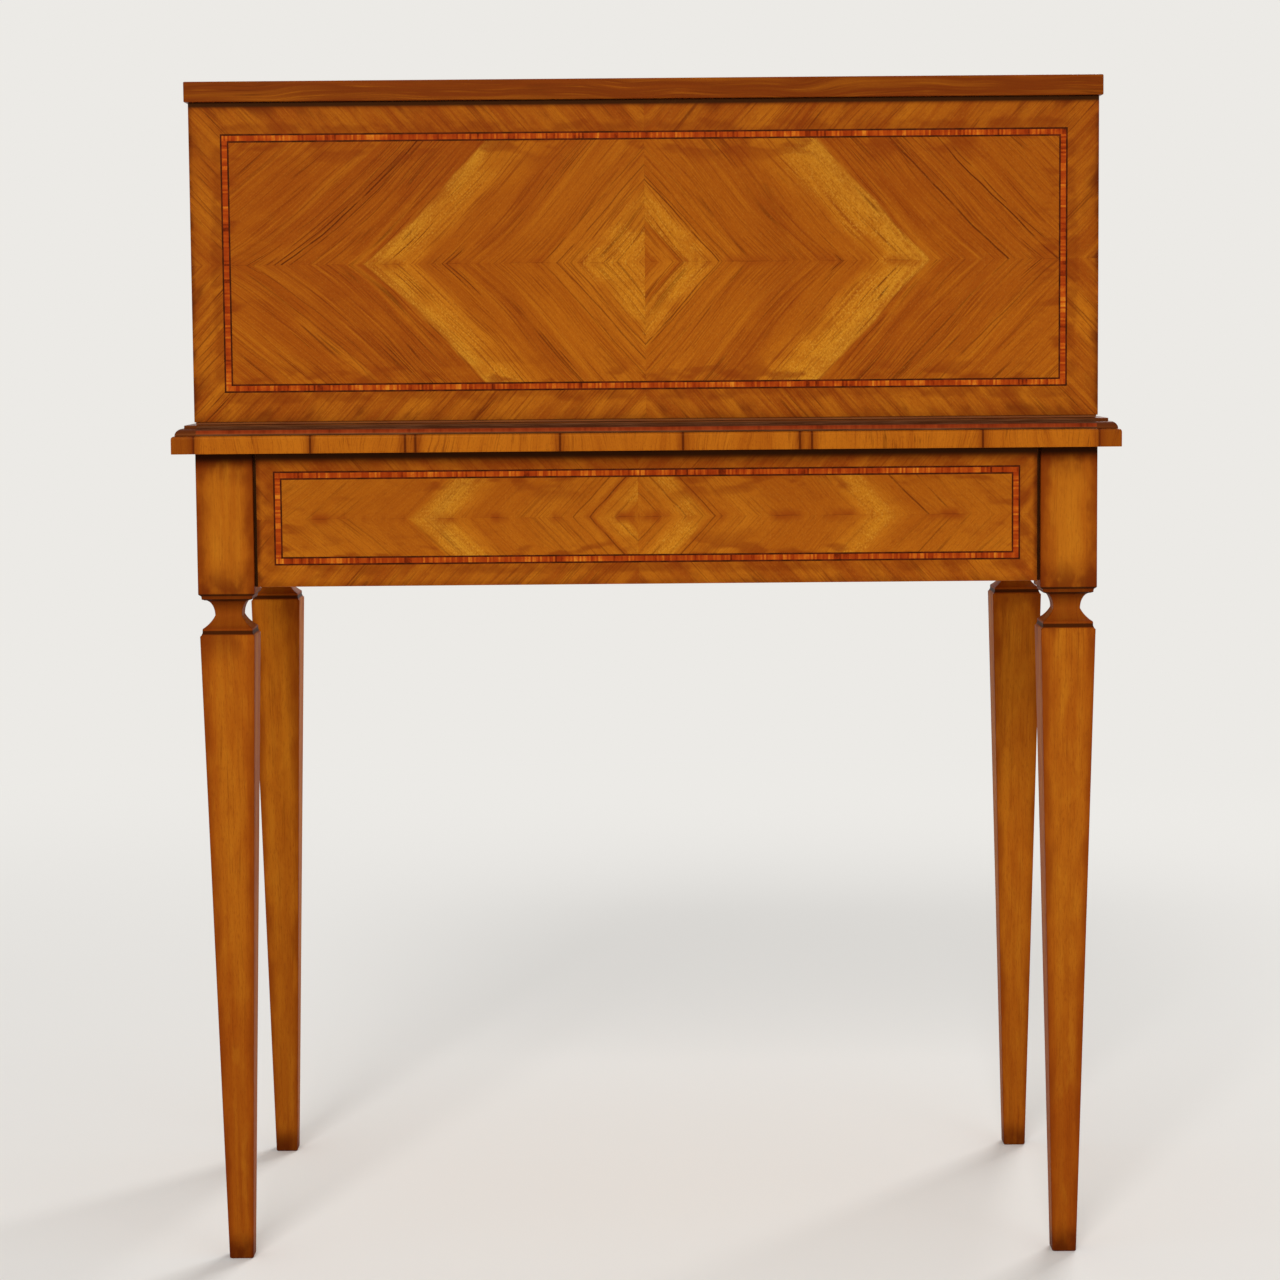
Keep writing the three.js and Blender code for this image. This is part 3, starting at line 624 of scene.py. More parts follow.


# %% [markdown]
# Age on the veneer
#
# Wax and dust gather where a cloth doesn't reach: along a panel's edges and beside the inlaid band, and
# the glue of the joints turns dark. Shade is painted into the colour too: a dark band under whatever
# overhangs a panel, and a face that darkens towards its top. Dirt could be painted into an image, but that
# image would fit one panel only. Here each kind of dirt is a noise, times how near its edge or joint a
# point lies, so it falls in the right places on a panel of any size and stays off the polished middle.

# %% Rust beside the band, dark joints, dirt at the edges and painted shade


def with_rust_and_painted_shade(wood, at, seed):
    """Brown patches beside the band, and painted shade that darkens the face towards its top"""
    rust = noise(at.side / 38, at.height / 15, at.leaf * 3 + seed + 47, 2).rise(0.5, 0.64)
    rust = rust * at.beyond_band.rise(-BAND_WIDTH - 30, -BAND_WIDTH) * at.in_field
    wood = mixed(rust * 0.65, wood, colour(120, 44, 6))
    # Painted shade: the face darkens towards its top, as the light falls on it
    rise_share = (at.up - at.face.match[1]) / (at.face.up[1] - at.face.up[0])
    return mixed(rise_share.rise(-0.35, 0.45) * 0.2, wood, MAHOGANY)


def with_joints(wood, at, seed, strength):
    """The stain where the upper leaves meet the lower ones, and the seams themselves"""
    patch = noise(at.side / 27, at.leaf, seed + 23, 3).rise(0.44, 0.66)
    wood = mixed(at.height.rise(9, 0) * patch * at.in_field * strength, wood, colour(134, 56, 8))
    seam = at.height.rise(0.6, 0.1).most(at.side.rise(0.4, 0.1) * 0.4) * at.in_field
    return mixed(seam * patch * 0.35, wood, UMBER)


def with_edge_dirt_and_painted_shadow(wood, at, seed, shade):
    """Dirt along the face's edges, least at its foot, and a painted shadow under whatever overhangs it"""
    grime = noise(at.diamond / 24, at.along / 50, at.leaf * 3 + seed + 29, 3, 0.6)
    kept = 1 - (at.up - at.face.up[0]).rise(9, 0) * 0.7
    border = at.face.border
    wood = mixed(at.to_edge.rise(border * 0.45, 0) * grime.rise(0.25, 0.7) * kept * 0.8, wood, MAHOGANY)
    smudge = at.to_edge.rise(border * 0.8, 2) * grime.rise(0.5, 0.68) * kept
    wood = mixed(smudge * 0.65, wood, colour(88, 28, 4))
    wood = mixed(at.to_edge.rise(5, 0) * grime.rise(0.25, 0.55) * kept * 0.75, wood, UMBER)
    beside_band = at.beyond_band.rise(22, 3) * at.beyond_band.over(0)
    stain = beside_band * noise(at.side / 21, at.height / 13, seed + 31, 2)
    wood = mixed(stain.rise(0.3, 0.6) * 0.5, wood, MAHOGANY)
    # Painted shadow: a dark band, shade millimetres deep, under whatever overhangs the face
    below_top = at.up - at.face.up[1]
    wood = mixed(below_top.rise(-shade * 2.5, -shade * 1.2) * 0.6, wood, UMBER)
    return mixed(below_top.rise(-shade * 1.8, -shade) * 0.95, wood, EBONY)


# %% Veneer in four mirrored leaves
FIELD_WANDER = 16
BORDER_WANDER = 9


def quartered_veneer(name, face, stripes, seed, shade, lines, strength=0.85, joint_strength=0.6):
    """Four mirrored leaves inside the band and crossbanding outside it.

    stripes are the ramps of the left and the right pair of leaves. shade is how far down a painted shadow
    reaches below whatever overhangs the face. lines are thin dark growth lines, each with its distance
    from the middle, its half width, and its strength on the upper left, lower left, upper right and lower
    right leaf."""
    material, start = new_material(name)
    at = LeafPlace(start, face)
    base = mixed(at.in_border, striped(at, stripes, seed), crossbanded(at, seed))
    strong = strength + at.in_border * (1 - strength) * 0.6
    wander = FIELD_WANDER - at.in_border * (FIELD_WANDER - BORDER_WANDER)
    grain = at.diamond * GRAIN_SCALE
    wood, pores = figured(base, grain, at.along, at.leaf + seed + 3, strong, strength * 0.85, wander)
    wood = with_growth_lines(wood, at, lines, seed)
    wood = with_flecks(wood, base, at, seed)
    wood = with_rust_and_painted_shade(wood, at, seed)
    wood = with_joints(wood, at, seed, joint_strength)
    wood = with_edge_dirt_and_painted_shadow(wood, at, seed, shade)
    varnished(start, wood, pores)
    return material


# %% [markdown]
# Inlay, brass, leather and stain
#
# The band's middle is cut across the grain from tulipwood and stained orange and red, one
# short slip after another. Each slip carries its own tone as an attribute, and fine lines
# run through it. Two dark strings border it. Brass and leather are simple by comparison:
# brass needs a tint and faint smears, leather a grain of small pebbles.

# %% The slips and strings of the inlaid bands
SLIP_RED = colour(138, 42, 6)
SLIP_ORANGE = colour(178, 78, 14)
SLIP_YELLOW = colour(206, 120, 30)
SLIP_BROWN = colour(92, 22, 3)
SLIP_STOPS = [
    (0.0, SLIP_BROWN),
    (0.2, SLIP_RED),
    (0.5, colour(157, 58, 10)),
    (0.72, SLIP_ORANGE),
    (1.0, SLIP_YELLOW),
]


def slip_material():
    material, start = new_material("banding_slips")
    tone = start.node("ShaderNodeAttribute", {"attribute_name": "tone"}, {}, "Fac")
    x, y, z = surface_place(start)
    drift = (noise(x / 17, y / 17, z / 17, 2) - 0.5) * 1.3
    grain = (noise(x / 1.1, y / 1.1, z / 1.1) - 0.5) * 0.3
    varnished(start, coloured(start, SLIP_STOPS, tone * 0.55 + 0.2 + drift + grain), grain)
    return material


def string_material():
    material, start = new_material("stringing")
    x, y, z = surface_place(start)
    worn = noise(x / 9, y / 9, z / 9, 2).rise(0.35, 0.7)
    varnished(start, mixed(worn, colour(44, 12, 4), colour(82, 26, 8)), worn)
    return material


SLIPS = slip_material()
STRINGS = string_material()

# %% Dark stain and brass


def groove_stain_and_shade():
    material, start = new_material("dark_stain_and_shade")
    x, y, z = surface_place(start)
    # The grooves' dark is partly a real stain with dust, partly painted shade that deepens the grooves'
    # own shadow
    dust = noise(x / 7, y / 7, z / 30, 3).rise(0.4, 0.75)
    varnished(start, mixed(dust, EBONY, colour(52, 24, 10)), dust, 0.5)
    return material


def turned_brass():
    material, start = new_material("lacquered_brass")
    x, y, z = surface_place(start)
    smear = noise(x / 5, y / 5, z / 5, 3)
    tint = mixed(smear.rise(0.42, 0.72), colour(214, 170, 92), colour(150, 104, 48))
    bump = bumped(start, 0.06, 0.1, noise(x / 0.5, y / 0.5, z / 0.5))
    inputs = {"Base Color": tint, "Metallic": 1.0, "Roughness": smear * 0.3 + 0.08, "Normal": bump}
    give_surface(start, inputs)
    return material


GROOVE_STAIN_AND_SHADE = groove_stain_and_shade()
BRASS = turned_brass()

# %% Green leather with gilt tooling
LOZENGE_PITCH = 8
LOZENGE_HALF = 2.7
GILT_OUTER = 8
GILT_INNER = 17
PEBBLE = 1.3


def gilt_border(x, y, from_edge, on_end):
    """1 on the gilt: two lines along the edge and a row of lozenges between them"""
    run = x + on_end * (y - x)
    step = abs((run / LOZENGE_PITCH).math("FRACT") - 0.5) * LOZENGE_PITCH
    lozenge = step + abs(from_edge - (GILT_OUTER + GILT_INNER) / 2)
    gilt = abs(lozenge - LOZENGE_HALF).rise(0.45, 0.25)
    for line, half_width in ((GILT_OUTER, 0.7), (GILT_INNER, 0.4)):
        gilt = gilt.most(abs(from_edge - line).rise(half_width + 0.1, half_width - 0.1))
    rubbed = noise(x / 6, y / 6, 3.0, 3).rise(0.62, 0.45)
    return gilt * rubbed * from_edge.over(GILT_OUTER - 2) * (GILT_INNER + 2 - from_edge).over(0)


def tooled_leather():
    """Pebbled hide, worn paler in patches, with its gilt border pressed in"""
    material, start = new_material("green_leather")
    x, y, z = surface_place(start)
    (low_x, low_y, _), (high_x, high_y, _) = solid_corners("writing_slide_leather")
    past_side = outside_of(x, (low_x, high_x))
    past_end = outside_of(y, (low_y, high_y))
    gilt = gilt_border(x, y, 0 - past_side.most(past_end), past_side.over(past_end))
    place = start.node("ShaderNodeCombineXYZ", {}, {"X": x / PEBBLE, "Y": y / PEBBLE, "Z": z / PEBBLE})
    voronoi = {"Vector": place, "Scale": 1.0}
    pebble = place.node("ShaderNodeTexVoronoi", {"feature": "F1"}, voronoi, "Distance")
    worn = noise(x / 70, y / 70, z / 70, 3).rise(0.45, 0.75)
    hide = mixed(worn, colour(38, 62, 34), colour(66, 86, 44))
    hide = mixed(pebble.rise(0.5, 0.2) * 0.35, hide, colour(84, 104, 60))
    hide = mixed(gilt, hide, colour(206, 160, 74))
    inputs = {
        "Base Color": hide,
        "Metallic": gilt,
        "Roughness": worn * 0.15 + 0.45 - gilt * 0.15,
        "Normal": bumped(start, 0.4, 0.2, (1 - pebble) * (1 - gilt) - gilt),
        "Specular IOR Level": 0.35,
    }
    give_surface(start, inputs)
    return material


LEATHER = tooled_leather()
FINISHES = (SLIPS, STRINGS, GROOVE_STAIN_AND_SHADE, BRASS, LEATHER)
print("Other finishes:", [finish.name for finish in FINISHES])

# %% [markdown]
# Boards with eased edges
#
# A cabinetmaker takes the sharpness off every edge with a stroke of the plane, and light
# gathers on that narrow facet. The Bevel modifier would do it, but its overlap guard looks
# at the whole mesh and the smallest mortise would shrink every bevel. So a copy of the
# solid is welded, its flat triangles are joined and only its outward edges are bevelled.
# Normals weighted by area then keep the flats flat and round the facet.

# %% Finish a mesh and show it as a piece
NORMAL_SPREAD = math.cos(math.radians(50))


def weigh_normals(mesh):
    """Give each corner the area-weighted normal of the faces around it that face a like way"""
    around = [[] for _ in mesh.vertices]
    for polygon in mesh.polygons:
        polygon.use_smooth = True
        for corner in polygon.vertices:
            around[corner].append(polygon)
    normals = []
    for polygon in mesh.polygons:
        for corner in polygon.vertices:
            total = Vector()
            for other in around[corner]:
                if polygon.normal.dot(other.normal) > NORMAL_SPREAD:
                    total += other.normal * other.area
            normals.append(total.normalized())
    mesh.normals_split_custom_set(normals)


def mesh_of(work, name, materials):
    """Turn finished bmesh work into a mesh with its materials and its weighted normals"""
    mesh = bpy.data.meshes.new(name)
    work.to_mesh(mesh)
    work.free()
    for material in materials:
        mesh.materials.append(material)
    weigh_normals(mesh)
    return mesh


def show(name, mesh, body, slot, nodes=()):
    """Link a finished mesh as a piece that rides on a body and stands for solids"""
    piece = bpy.data.objects.new(name, mesh)
    bpy.context.scene.collection.objects.link(piece)
    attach(piece, body)
    if nodes:
        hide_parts(*nodes)
    return piece


def slot_of(node):
    return next(part["material_slot"] for part in frame["record"]["subparts"] if part["node"] == node)


# %% Ease the edges of a board
WELD = 0.02
FLAT_ANGLE = math.radians(0.6)
SHARP_ANGLE = math.radians(35)
ARRIS = 0.55


def edge_middle(edge):
    return (edge.verts[0].co + edge.verts[1].co) / 2 / MM


def ease_edges(work, arris, rounds=()):
    """Bevel every outward edge. rounds are edges to be cut by another size, and a test on an
    edge's middle. A bevelled face takes its neighbour's material."""
    sharp = [edge for edge in work.edges if edge.is_convex and edge.calc_face_angle(0) > SHARP_ANGLE]
    for size, belongs in (*rounds, (arris, lambda middle: True)):
        chosen = [edge for edge in sharp if edge.is_valid and belongs(edge_middle(edge))]
        sharp = [edge for edge in sharp if edge not in chosen]
        bmesh.ops.bevel(
            work,
            geom=chosen,
            offset=size * MM,
            segments=4 if size > 1 else 2,
            profile=0.5,
            affect="EDGES",
            clamp_overlap=True,
            material=-1,
        )


def eased(node, materials, choose=None, arris=ARRIS, rounds=()):
    """A copy of a solid with eased edges. choose gives a face's material from its normal and
    middle."""
    work = bmesh.new()
    work.from_mesh(frame["nodes"][node].data)
    bmesh.ops.remove_doubles(work, verts=work.verts, dist=WELD * MM)
    bmesh.ops.dissolve_limit(work, angle_limit=FLAT_ANGLE, verts=work.verts, edges=work.edges)
    for face in work.faces:
        face.material_index = choose(face.normal, face.calc_center_median() / MM) if choose else 0
    ease_edges(work, arris, rounds)
    mesh = mesh_of(work, f"{node}_eased", materials)
    return show(mesh.name, mesh, BODY_OF[node], slot_of(node), [node])


# %% [markdown]
# The legs
#
# Each leg is one piece of walnut: a square block where the aprons are jointed in, a moulded
# neck, and a taper. Every section is a square with softened corners, so a leg is a stack of
# such squares, joined ring by ring. Screw or Spin would turn the outline round and make it
# circular. The neck's points are shares of the block's half width and of its own height,
# and its hollow is part of an ellipse.

# %% The leg's outline
BLOCK_HALF = 25.6
TAPER_TOP_HALF = 24.75
FOOT_HALF = 11
TAPER_HEIGHT = 580
BLOCK_BOTTOM = 616.8
LEG_CORNER = 1.1
TAPER_RINGS = 24
ARC_STEPS = 12
CORNER_STEPS = 3
GROOVE_SHARES = [(0.887, 0.943), (0.887, 0.861)]
FLARE_SHARES = [(0.867, 0.837), (0.605, 0.72), (0.477, 0.533)]
SCOTIA_TOP_SHARES = (0.805, 0.141)
FILLET_SHARES = [(0.891, 0.117), (0.906, 0.041)]


def leg_outline(top):
    """(half width, height) of each ring of a leg, from the floor up"""

    def neck(width_share, height_share):
        drop = (BLOCK_BOTTOM - TAPER_HEIGHT) * height_share
        return (BLOCK_HALF * width_share, BLOCK_BOTTOM - drop)

    outline = [(FOOT_HALF - LEG_CORNER, 0)]
    for step in range(TAPER_RINGS + 1):
        share = step / TAPER_RINGS
        height = LEG_CORNER + (TAPER_HEIGHT - 2 * LEG_CORNER) * share
        outline.append((FOOT_HALF + (TAPER_TOP_HALF - FOOT_HALF) * share, height))
    outline.append((TAPER_TOP_HALF - LEG_CORNER, TAPER_HEIGHT))
    outline += [neck(*shares) for shares in GROOVE_SHARES]
    lip, belly, throat = (Vector(neck(*shares)) for shares in FLARE_SHARES)
    for step in range(ARC_STEPS):
        t = step / ARC_STEPS
        outline.append(tuple(lip * (1 - t) ** 2 + belly * 2 * t * (1 - t) + throat * t * t))
    scotia_top = Vector(neck(*SCOTIA_TOP_SHARES))
    for step in range(ARC_STEPS + 1):
        angle = math.pi / 2 * step / ARC_STEPS
        width = scotia_top.x - (scotia_top.x - throat.x) * math.cos(angle)
        outline.append((width, throat.y + (scotia_top.y - throat.y) * math.sin(angle)))
    outline += [neck(*shares) for shares in FILLET_SHARES]
    outline += [(BLOCK_HALF - 0.4, BLOCK_BOTTOM), (BLOCK_HALF, BLOCK_BOTTOM + 0.6)]
    outline += [(BLOCK_HALF, top - 1), (BLOCK_HALF - 0.6, top)]
    return outline


# %% Skin a stack of rings


def square_ring(half, corner):
    """A square with rounded corners, as points round its middle"""
    points = []
    for quarter in range(4):
        middle_angle = math.pi / 4 + quarter * math.pi / 2
        diagonal = Vector((math.cos(middle_angle), math.sin(middle_angle)))
        centre = diagonal * (half - corner) * math.sqrt(2)
        for step in range(CORNER_STEPS):
            angle = middle_angle + (step / (CORNER_STEPS - 1) - 0.5) * math.pi / 2
            points.append(centre + Vector((math.cos(angle), math.sin(angle))) * corner)
    return points


def skin(work, rings):
    """Join rings of the same number of points with four-sided faces, and close both ends"""
    layers = [[work.verts.new(point * MM) for point in ring] for ring in rings]
    for below, above in zip(layers, layers[1:]):
        for i in range(len(below)):
            j = (i + 1) % len(below)
            work.faces.new((below[i], below[j], above[j], above[i]))
    work.faces.new(layers[0][::-1])
    work.faces.new(layers[-1])
    bmesh.ops.recalc_face_normals(work, faces=work.faces)


def measure_faces(mesh, centre, number):
    """Write how far each corner lies across its leg's face, its height, and the face's number"""
    lay = mesh.attributes.new("lay", "FLOAT_VECTOR", "CORNER")
    for polygon in mesh.polygons:
        across_axis = 0 if abs(polygon.normal.y) > abs(polygon.normal.x) else 1
        faces_up = polygon.normal[1 - across_axis] > 0
        for loop in polygon.loop_indices:
            point = mesh.vertices[mesh.loops[loop].vertex_index].co / MM
            across = point[across_axis] - centre[across_axis]
            lay.data[loop].vector = (across, point.z, number + 2 * across_axis + faces_up)


# %% [markdown]
# The wood of the legs
#
# The legs are straight-grained walnut, rubbed golden down the middle of each face and dark where no cloth
# reaches: at the ends of the block and at the foot. Shadow is painted into the colour as well, in the
# neck's hollows and under the slab.
# Read from the place in the room, a figure would run through the leg and slip off its
# taper. So each face writes its own measure across and along into an attribute, and the
# golden middle narrows with the leg on all four sides.

# %% The colours of the legs, their necks, their dirt and their painted shadows
FACES_TO_A_LEG = 4
FRONT_LEGS_FROM = 2 * FACES_TO_A_LEG - 0.5
FACE_SEED_STEP = 3.7
NECK_SHADOWS = [(0.2, 1.2, 3.6, 4.6), (29.5, 31.8, 32.4, 33.2), (35.2, 36, 37.2, 38)]
DIRTY_END = 34
UNDER_SLAB = 742
FOOT_FADE = 420


def middle_glow(edge_share):
    """1 down the middle of a face, falling to 0 at its edges"""
    return 1 - edge_share * edge_share


def with_neck(wood, height, in_block):
    """A darker neck, with painted shadow under its fillet and in its hollows. NECK_SHADOWS are heights
    over the taper, from where each shadow starts to where it ends."""
    over_taper = height - TAPER_HEIGHT
    neck = height.over(TAPER_HEIGHT) * (1 - in_block)
    wood = mixed(neck * 0.6, wood, colour(116, 46, 8))
    # Painted shade: the top of the hollow, under the fillet, darkened as its shadow
    wood = mixed(neck * over_taper.rise(16, 31) * 0.6, wood, UMBER)
    wood = mixed(neck * over_taper.rise(10, 5) * 0.5, wood, MAHOGANY)
    # Painted shadows in the groove, under the fillet and under the block
    hollows = []
    for start, full, fading, end in NECK_SHADOWS:
        hollows.append(over_taper.rise(start, full) * over_taper.rise(end, fading))
    groove, under_fillet, under_block = hollows
    return mixed(groove.most(under_fillet).most(under_block) * 0.85, wood, EBONY)


def with_leg_dirt_and_painted_shadow(wood, across, height, edge_share, seed):
    """Worn edges, dark blotches at both ends of the block, dirt at both ends of the taper, a painted
    shadow under the slab, and a darkening towards the foot
    """
    cloud = noise(across / 16, height / 55, seed + 5, 2)
    smudge = noise(across / 12, height / 22, seed + 13, 3)
    in_block = height.over(BLOCK_BOTTOM - 1)
    wood = mixed((edge_share + (cloud - 0.5) * 1.1).rise(0.5, 1.1) * 0.75, wood, colour(122, 50, 7))
    wood = mixed(middle_glow(edge_share) * in_block * 0.18, wood, colour(200, 124, 28))
    block_edge = (edge_share + (smudge - 0.5) * 1.3).rise(0.6, 1.1) * in_block
    wood = mixed(block_edge * 0.6, wood, colour(114, 44, 6))
    near_bottom = height.rise(BLOCK_BOTTOM + DIRTY_END, BLOCK_BOTTOM)
    near_ends = near_bottom.most(height.rise(UNDER_SLAB - 32, UNDER_SLAB))
    block_end = near_ends * in_block * (smudge.rise(0.35, 0.6) * 0.5 + 0.35)
    wood = mixed(block_end, wood, colour(98, 34, 5))
    taper_end = height.rise(TAPER_HEIGHT - DIRTY_END, TAPER_HEIGHT) * (1 - height.over(TAPER_HEIGHT))
    wood = mixed(taper_end * cloud.rise(0.42, 0.62) * 0.55, wood, colour(104, 38, 6))
    wood = with_neck(wood, height, in_block)
    # Painted shadow: a dark band across the top of the block, under the slab
    wood = mixed(height.rise(UNDER_SLAB - 14, UNDER_SLAB - 4) * 0.6, wood, UMBER)
    wood = mixed(height.rise(UNDER_SLAB - 7, UNDER_SLAB - 1.5) * 0.95, wood, EBONY)
    wood = mixed(height.rise(FOOT_FADE, 0) * 0.35, wood, MAHOGANY)
    wood = mixed(height.rise(DIRTY_END, 0) * 0.6, wood, UMBER)
    return mixed(height.rise(26, 5) * (smudge.rise(0.35, 0.6) * 0.5 + 0.15), wood, UMBER)


def leg_wood():
    """Straight-grained walnut with a golden heart down the middle of each face"""
    material, start = new_material("leg_walnut")
    lay = start.node("ShaderNodeAttribute", {"attribute_name": "lay"}, {}, "Vector")
    across = lay.node("ShaderNodeSeparateXYZ", {}, {"Vector": lay})
    height = across.sibling("Y")
    face_number = across.sibling("Z")
    seed = face_number * FACE_SEED_STEP
    half = (height / TAPER_HEIGHT).least(1) * (BLOCK_HALF - FOOT_HALF) + FOOT_HALF
    edge_share = abs(across) / half
    glow = middle_glow(edge_share)
    heart = noise(across / 13, height / 260, seed + 1, 2).rise(0.35, 0.65)
    patch = noise(across / 10, height / 34, seed + 9, 3)
    base = mixed(heart * glow * 0.8, colour(155, 76, 12), colour(175, 100, 19))
    base = mixed(patch.rise(0.5, 0.72) * glow * 0.5, base, colour(182, 110, 23))
    # Painted light: the front legs are made paler, to make up for the shadow that the desk casts on them
    base = mixed(face_number.over(FRONT_LEGS_FROM) * 0.28, base, colour(196, 120, 24))
    base = mixed(patch.rise(0.5, 0.28) * 0.4, base, CHESTNUT)
    wood, pores = figured(base, across, height, seed, 0.36, 0.1, 9)
    wood = with_leg_dirt_and_painted_shadow(wood, across, height, edge_share, seed)
    varnished(start, wood, pores, 0.6, 0.1)
    return material


LEG_WOOD = leg_wood()
print("Leg wood:", LEG_WOOD.name)

# %% Stand the four legs
LEGS = ["leg_back_left", "leg_back_right", "leg_front_left", "leg_front_right"]


def stand_leg(node, number):
    """Skin one leg over its solid. Returns how many rings it has."""
    low, high = solid_corners(node)
    centre = (low + high) / 2
    rings = []
    for half, height in leg_outline(high.z):
        ring = square_ring(half, min(LEG_CORNER, half))
        rings.append([Vector((centre.x + point.x, centre.y + point.y, height)) for point in ring])
    work = bmesh.new()
    skin(work, rings)
    mesh = mesh_of(work, f"{node}_turned_out", [LEG_WOOD])
    measure_faces(mesh, centre, number * FACES_TO_A_LEG)
    show(f"{node}_polished", mesh, BODY_OF[node], "walnut", [node])
    return len(rings)


ring_counts = [stand_leg(leg_node, leg_number) for leg_number, leg_node in enumerate(LEGS)]
print("Rings to each leg:", ring_counts)

# %% [markdown]
# The panels
#
# Thirteen faces carry the same scheme. The finished back's two are the ones that the picture shows, and
# their stripes are placed after it. The rest of the desk follows suit with quieter figure. The parts of a
# panel that aren't its show face keep plain wood, and the narrow grooves beside the legs are stained dark,
# a stain that also paints in the grooves' shade.

# %% The stripes of the veneer, in millimetres from the middle
BRIGHT = colour(195, 129, 31)
UPPER_LEFT_STRIPES = [
    (0, AMBER),
    (14, GOLD),
    (50, GOLD),
    (63, AMBER),
    (96, HONEY),
    (130, HONEY),
    (165, CHESTNUT),
    (184, HONEY),
    (208, AMBER),
    (230, GOLD),
    (248, BRIGHT),
    (254, CHESTNUT),
    (300, CHESTNUT),
    (470, colour(150, 71, 9)),
]
UPPER_RIGHT_STRIPES = [
    (0, HONEY),
    (12, HONEY),
    (24, AMBER),
    (29, HONEY),
    (32, colour(140, 63, 7)),
    (36, GOLD),
    (54, GOLD),
    (66, AMBER),
    (72, HONEY),
    (110, HONEY),
    (165, CHESTNUT),
    (184, HONEY),
    (200, AMBER),
    (222, GOLD),
    (252, BRIGHT),
    (258, CHESTNUT),
    (470, HONEY),
]
UPPER_LINES = [
    (66, 1.2, 0.4, 0.5, 0.8, 0.7),
    (70, 0.9, 0.3, 0.3, 0.6, 0.5),
    (78, 1.2, 0.6, 0.6, 0.5, 0.3),
    (92, 1.0, 0.5, 0.5, 0.3, 0.3),
    (300, 1.2, 0.5, 0, 0, 0.2),
    (318, 1.3, 0.8, 0.2, 0, 0),
    (325, 1.9, 1.0, 0, 0.9, 0.5),
    (331, 1.3, 0.9, 0.3, 0.3, 0),
    (339, 1.1, 0.7, 0, 0, 0.3),
    (352, 1.0, 0.5, 0.5, 0.3, 0),
    (370, 1.5, 0, 0.4, 1.0, 0.5),
    (377, 1.0, 0.3, 0, 0.8, 0.2),
]
FRIEZE_LEFT_STRIPES = [
    (0, AMBER),
    (10, HONEY),
    (17, GOLD),
    (38, AMBER),
    (42, CHESTNUT),
    (50, AMBER),
    (62, HONEY),
    (90, AMBER),
    (120, HONEY),
    (150, HONEY),
    (166, AMBER),
    (174, GOLD),
    (188, BRIGHT),
    (202, GOLD),
    (210, HONEY),
    (400, AMBER),
]
FRIEZE_RIGHT_STRIPES = [
    (0, HONEY),
    (10, AMBER),
    (22, HONEY),
    (34, AMBER),
    (50, GOLD),
    (60, GOLD),
    (68, HONEY),
    (100, AMBER),
    (140, HONEY),
    (180, HONEY),
    (204, AMBER),
    (222, GOLD),
    (228, GOLD),
    (238, AMBER),
    (250, HONEY),
    (400, AMBER),
]
FRIEZE_LINES = [
    (20, 1.2, 0.5, 0.5, 0.5, 0.5),
    (43, 1.3, 0.8, 0.7, 0.5, 0.5),
    (58, 1.2, 0.6, 0.5, 0.3, 0.3),
    (70, 1.2, 0.3, 0.3, 0.7, 0.6),
    (76, 1.0, 0.4, 0.3, 0.4, 0.4),
    (262, 1.8, 0, 0.3, 0.8, 0.2),
    (286, 1.3, 0.2, 0.2, 0.6, 0.5),
]
SMALL_STRIPES = [
    (0, CHESTNUT),
    (8, HONEY),
    (20, GOLD),
    (36, AMBER),
    (58, HONEY),
    (84, CHESTNUT),
    (98, AMBER),
    (108, GOLD),
    (114, HONEY),
    (190, CHESTNUT),
]
SMALL_LINES = [
    (15, 1.2, 0.5, 0.5, 0.5, 0.5),
    (44, 1.2, 0.6, 0.6, 0.6, 0.6),
    (120, 1.2, 0.5, 0.5, 0.5, 0.5),
]
UPPER_VENEER = {
    "stripes": (UPPER_LEFT_STRIPES, UPPER_RIGHT_STRIPES),
    "lines": UPPER_LINES,
    "strength": 1.0,
}
FRIEZE_VENEER = {
    "stripes": (FRIEZE_LEFT_STRIPES, FRIEZE_RIGHT_STRIPES),
    "lines": FRIEZE_LINES,
    "strength": 0.48,
    "joint_strength": 0.9,
}
SMALL_VENEER = {"stripes": (SMALL_STRIPES, SMALL_STRIPES), "lines": SMALL_LINES}

# %% Every veneered face
REVEAL = 3
OUT_BACK = (0, -1, 0)
OUT_FRONT = (0, 1, 0)
OUT_LEFT = (-1, 0, 0)
OUT_RIGHT = (1, 0, 0)
OUT_UP = (0, 0, 1)
leg_clear_x = -solid_corners("leg_back_left")[1].x - REVEAL
leg_clear_y = -solid_corners("leg_back_left")[1].y - REVEAL
apron_width = (-leg_clear_x, leg_clear_x)
apron_depth = (-leg_clear_y, leg_clear_y)
case_front = solid_corners("case_top")[1].y
field_back = solid_corners("moulding_back")[1].y
field_side = solid_corners("moulding_right")[0].x
field_width = (-field_side, field_side)
field_depth = (case_front, -field_back)
FRIEZE_INSETS = (15.4, 19.4, 18.8)
CASE_SIDE_INSETS = (22, 26.2, 28)
DOOR_INSETS = (22, 24, 24)
SMALL_INSETS = (9, 9, 9)
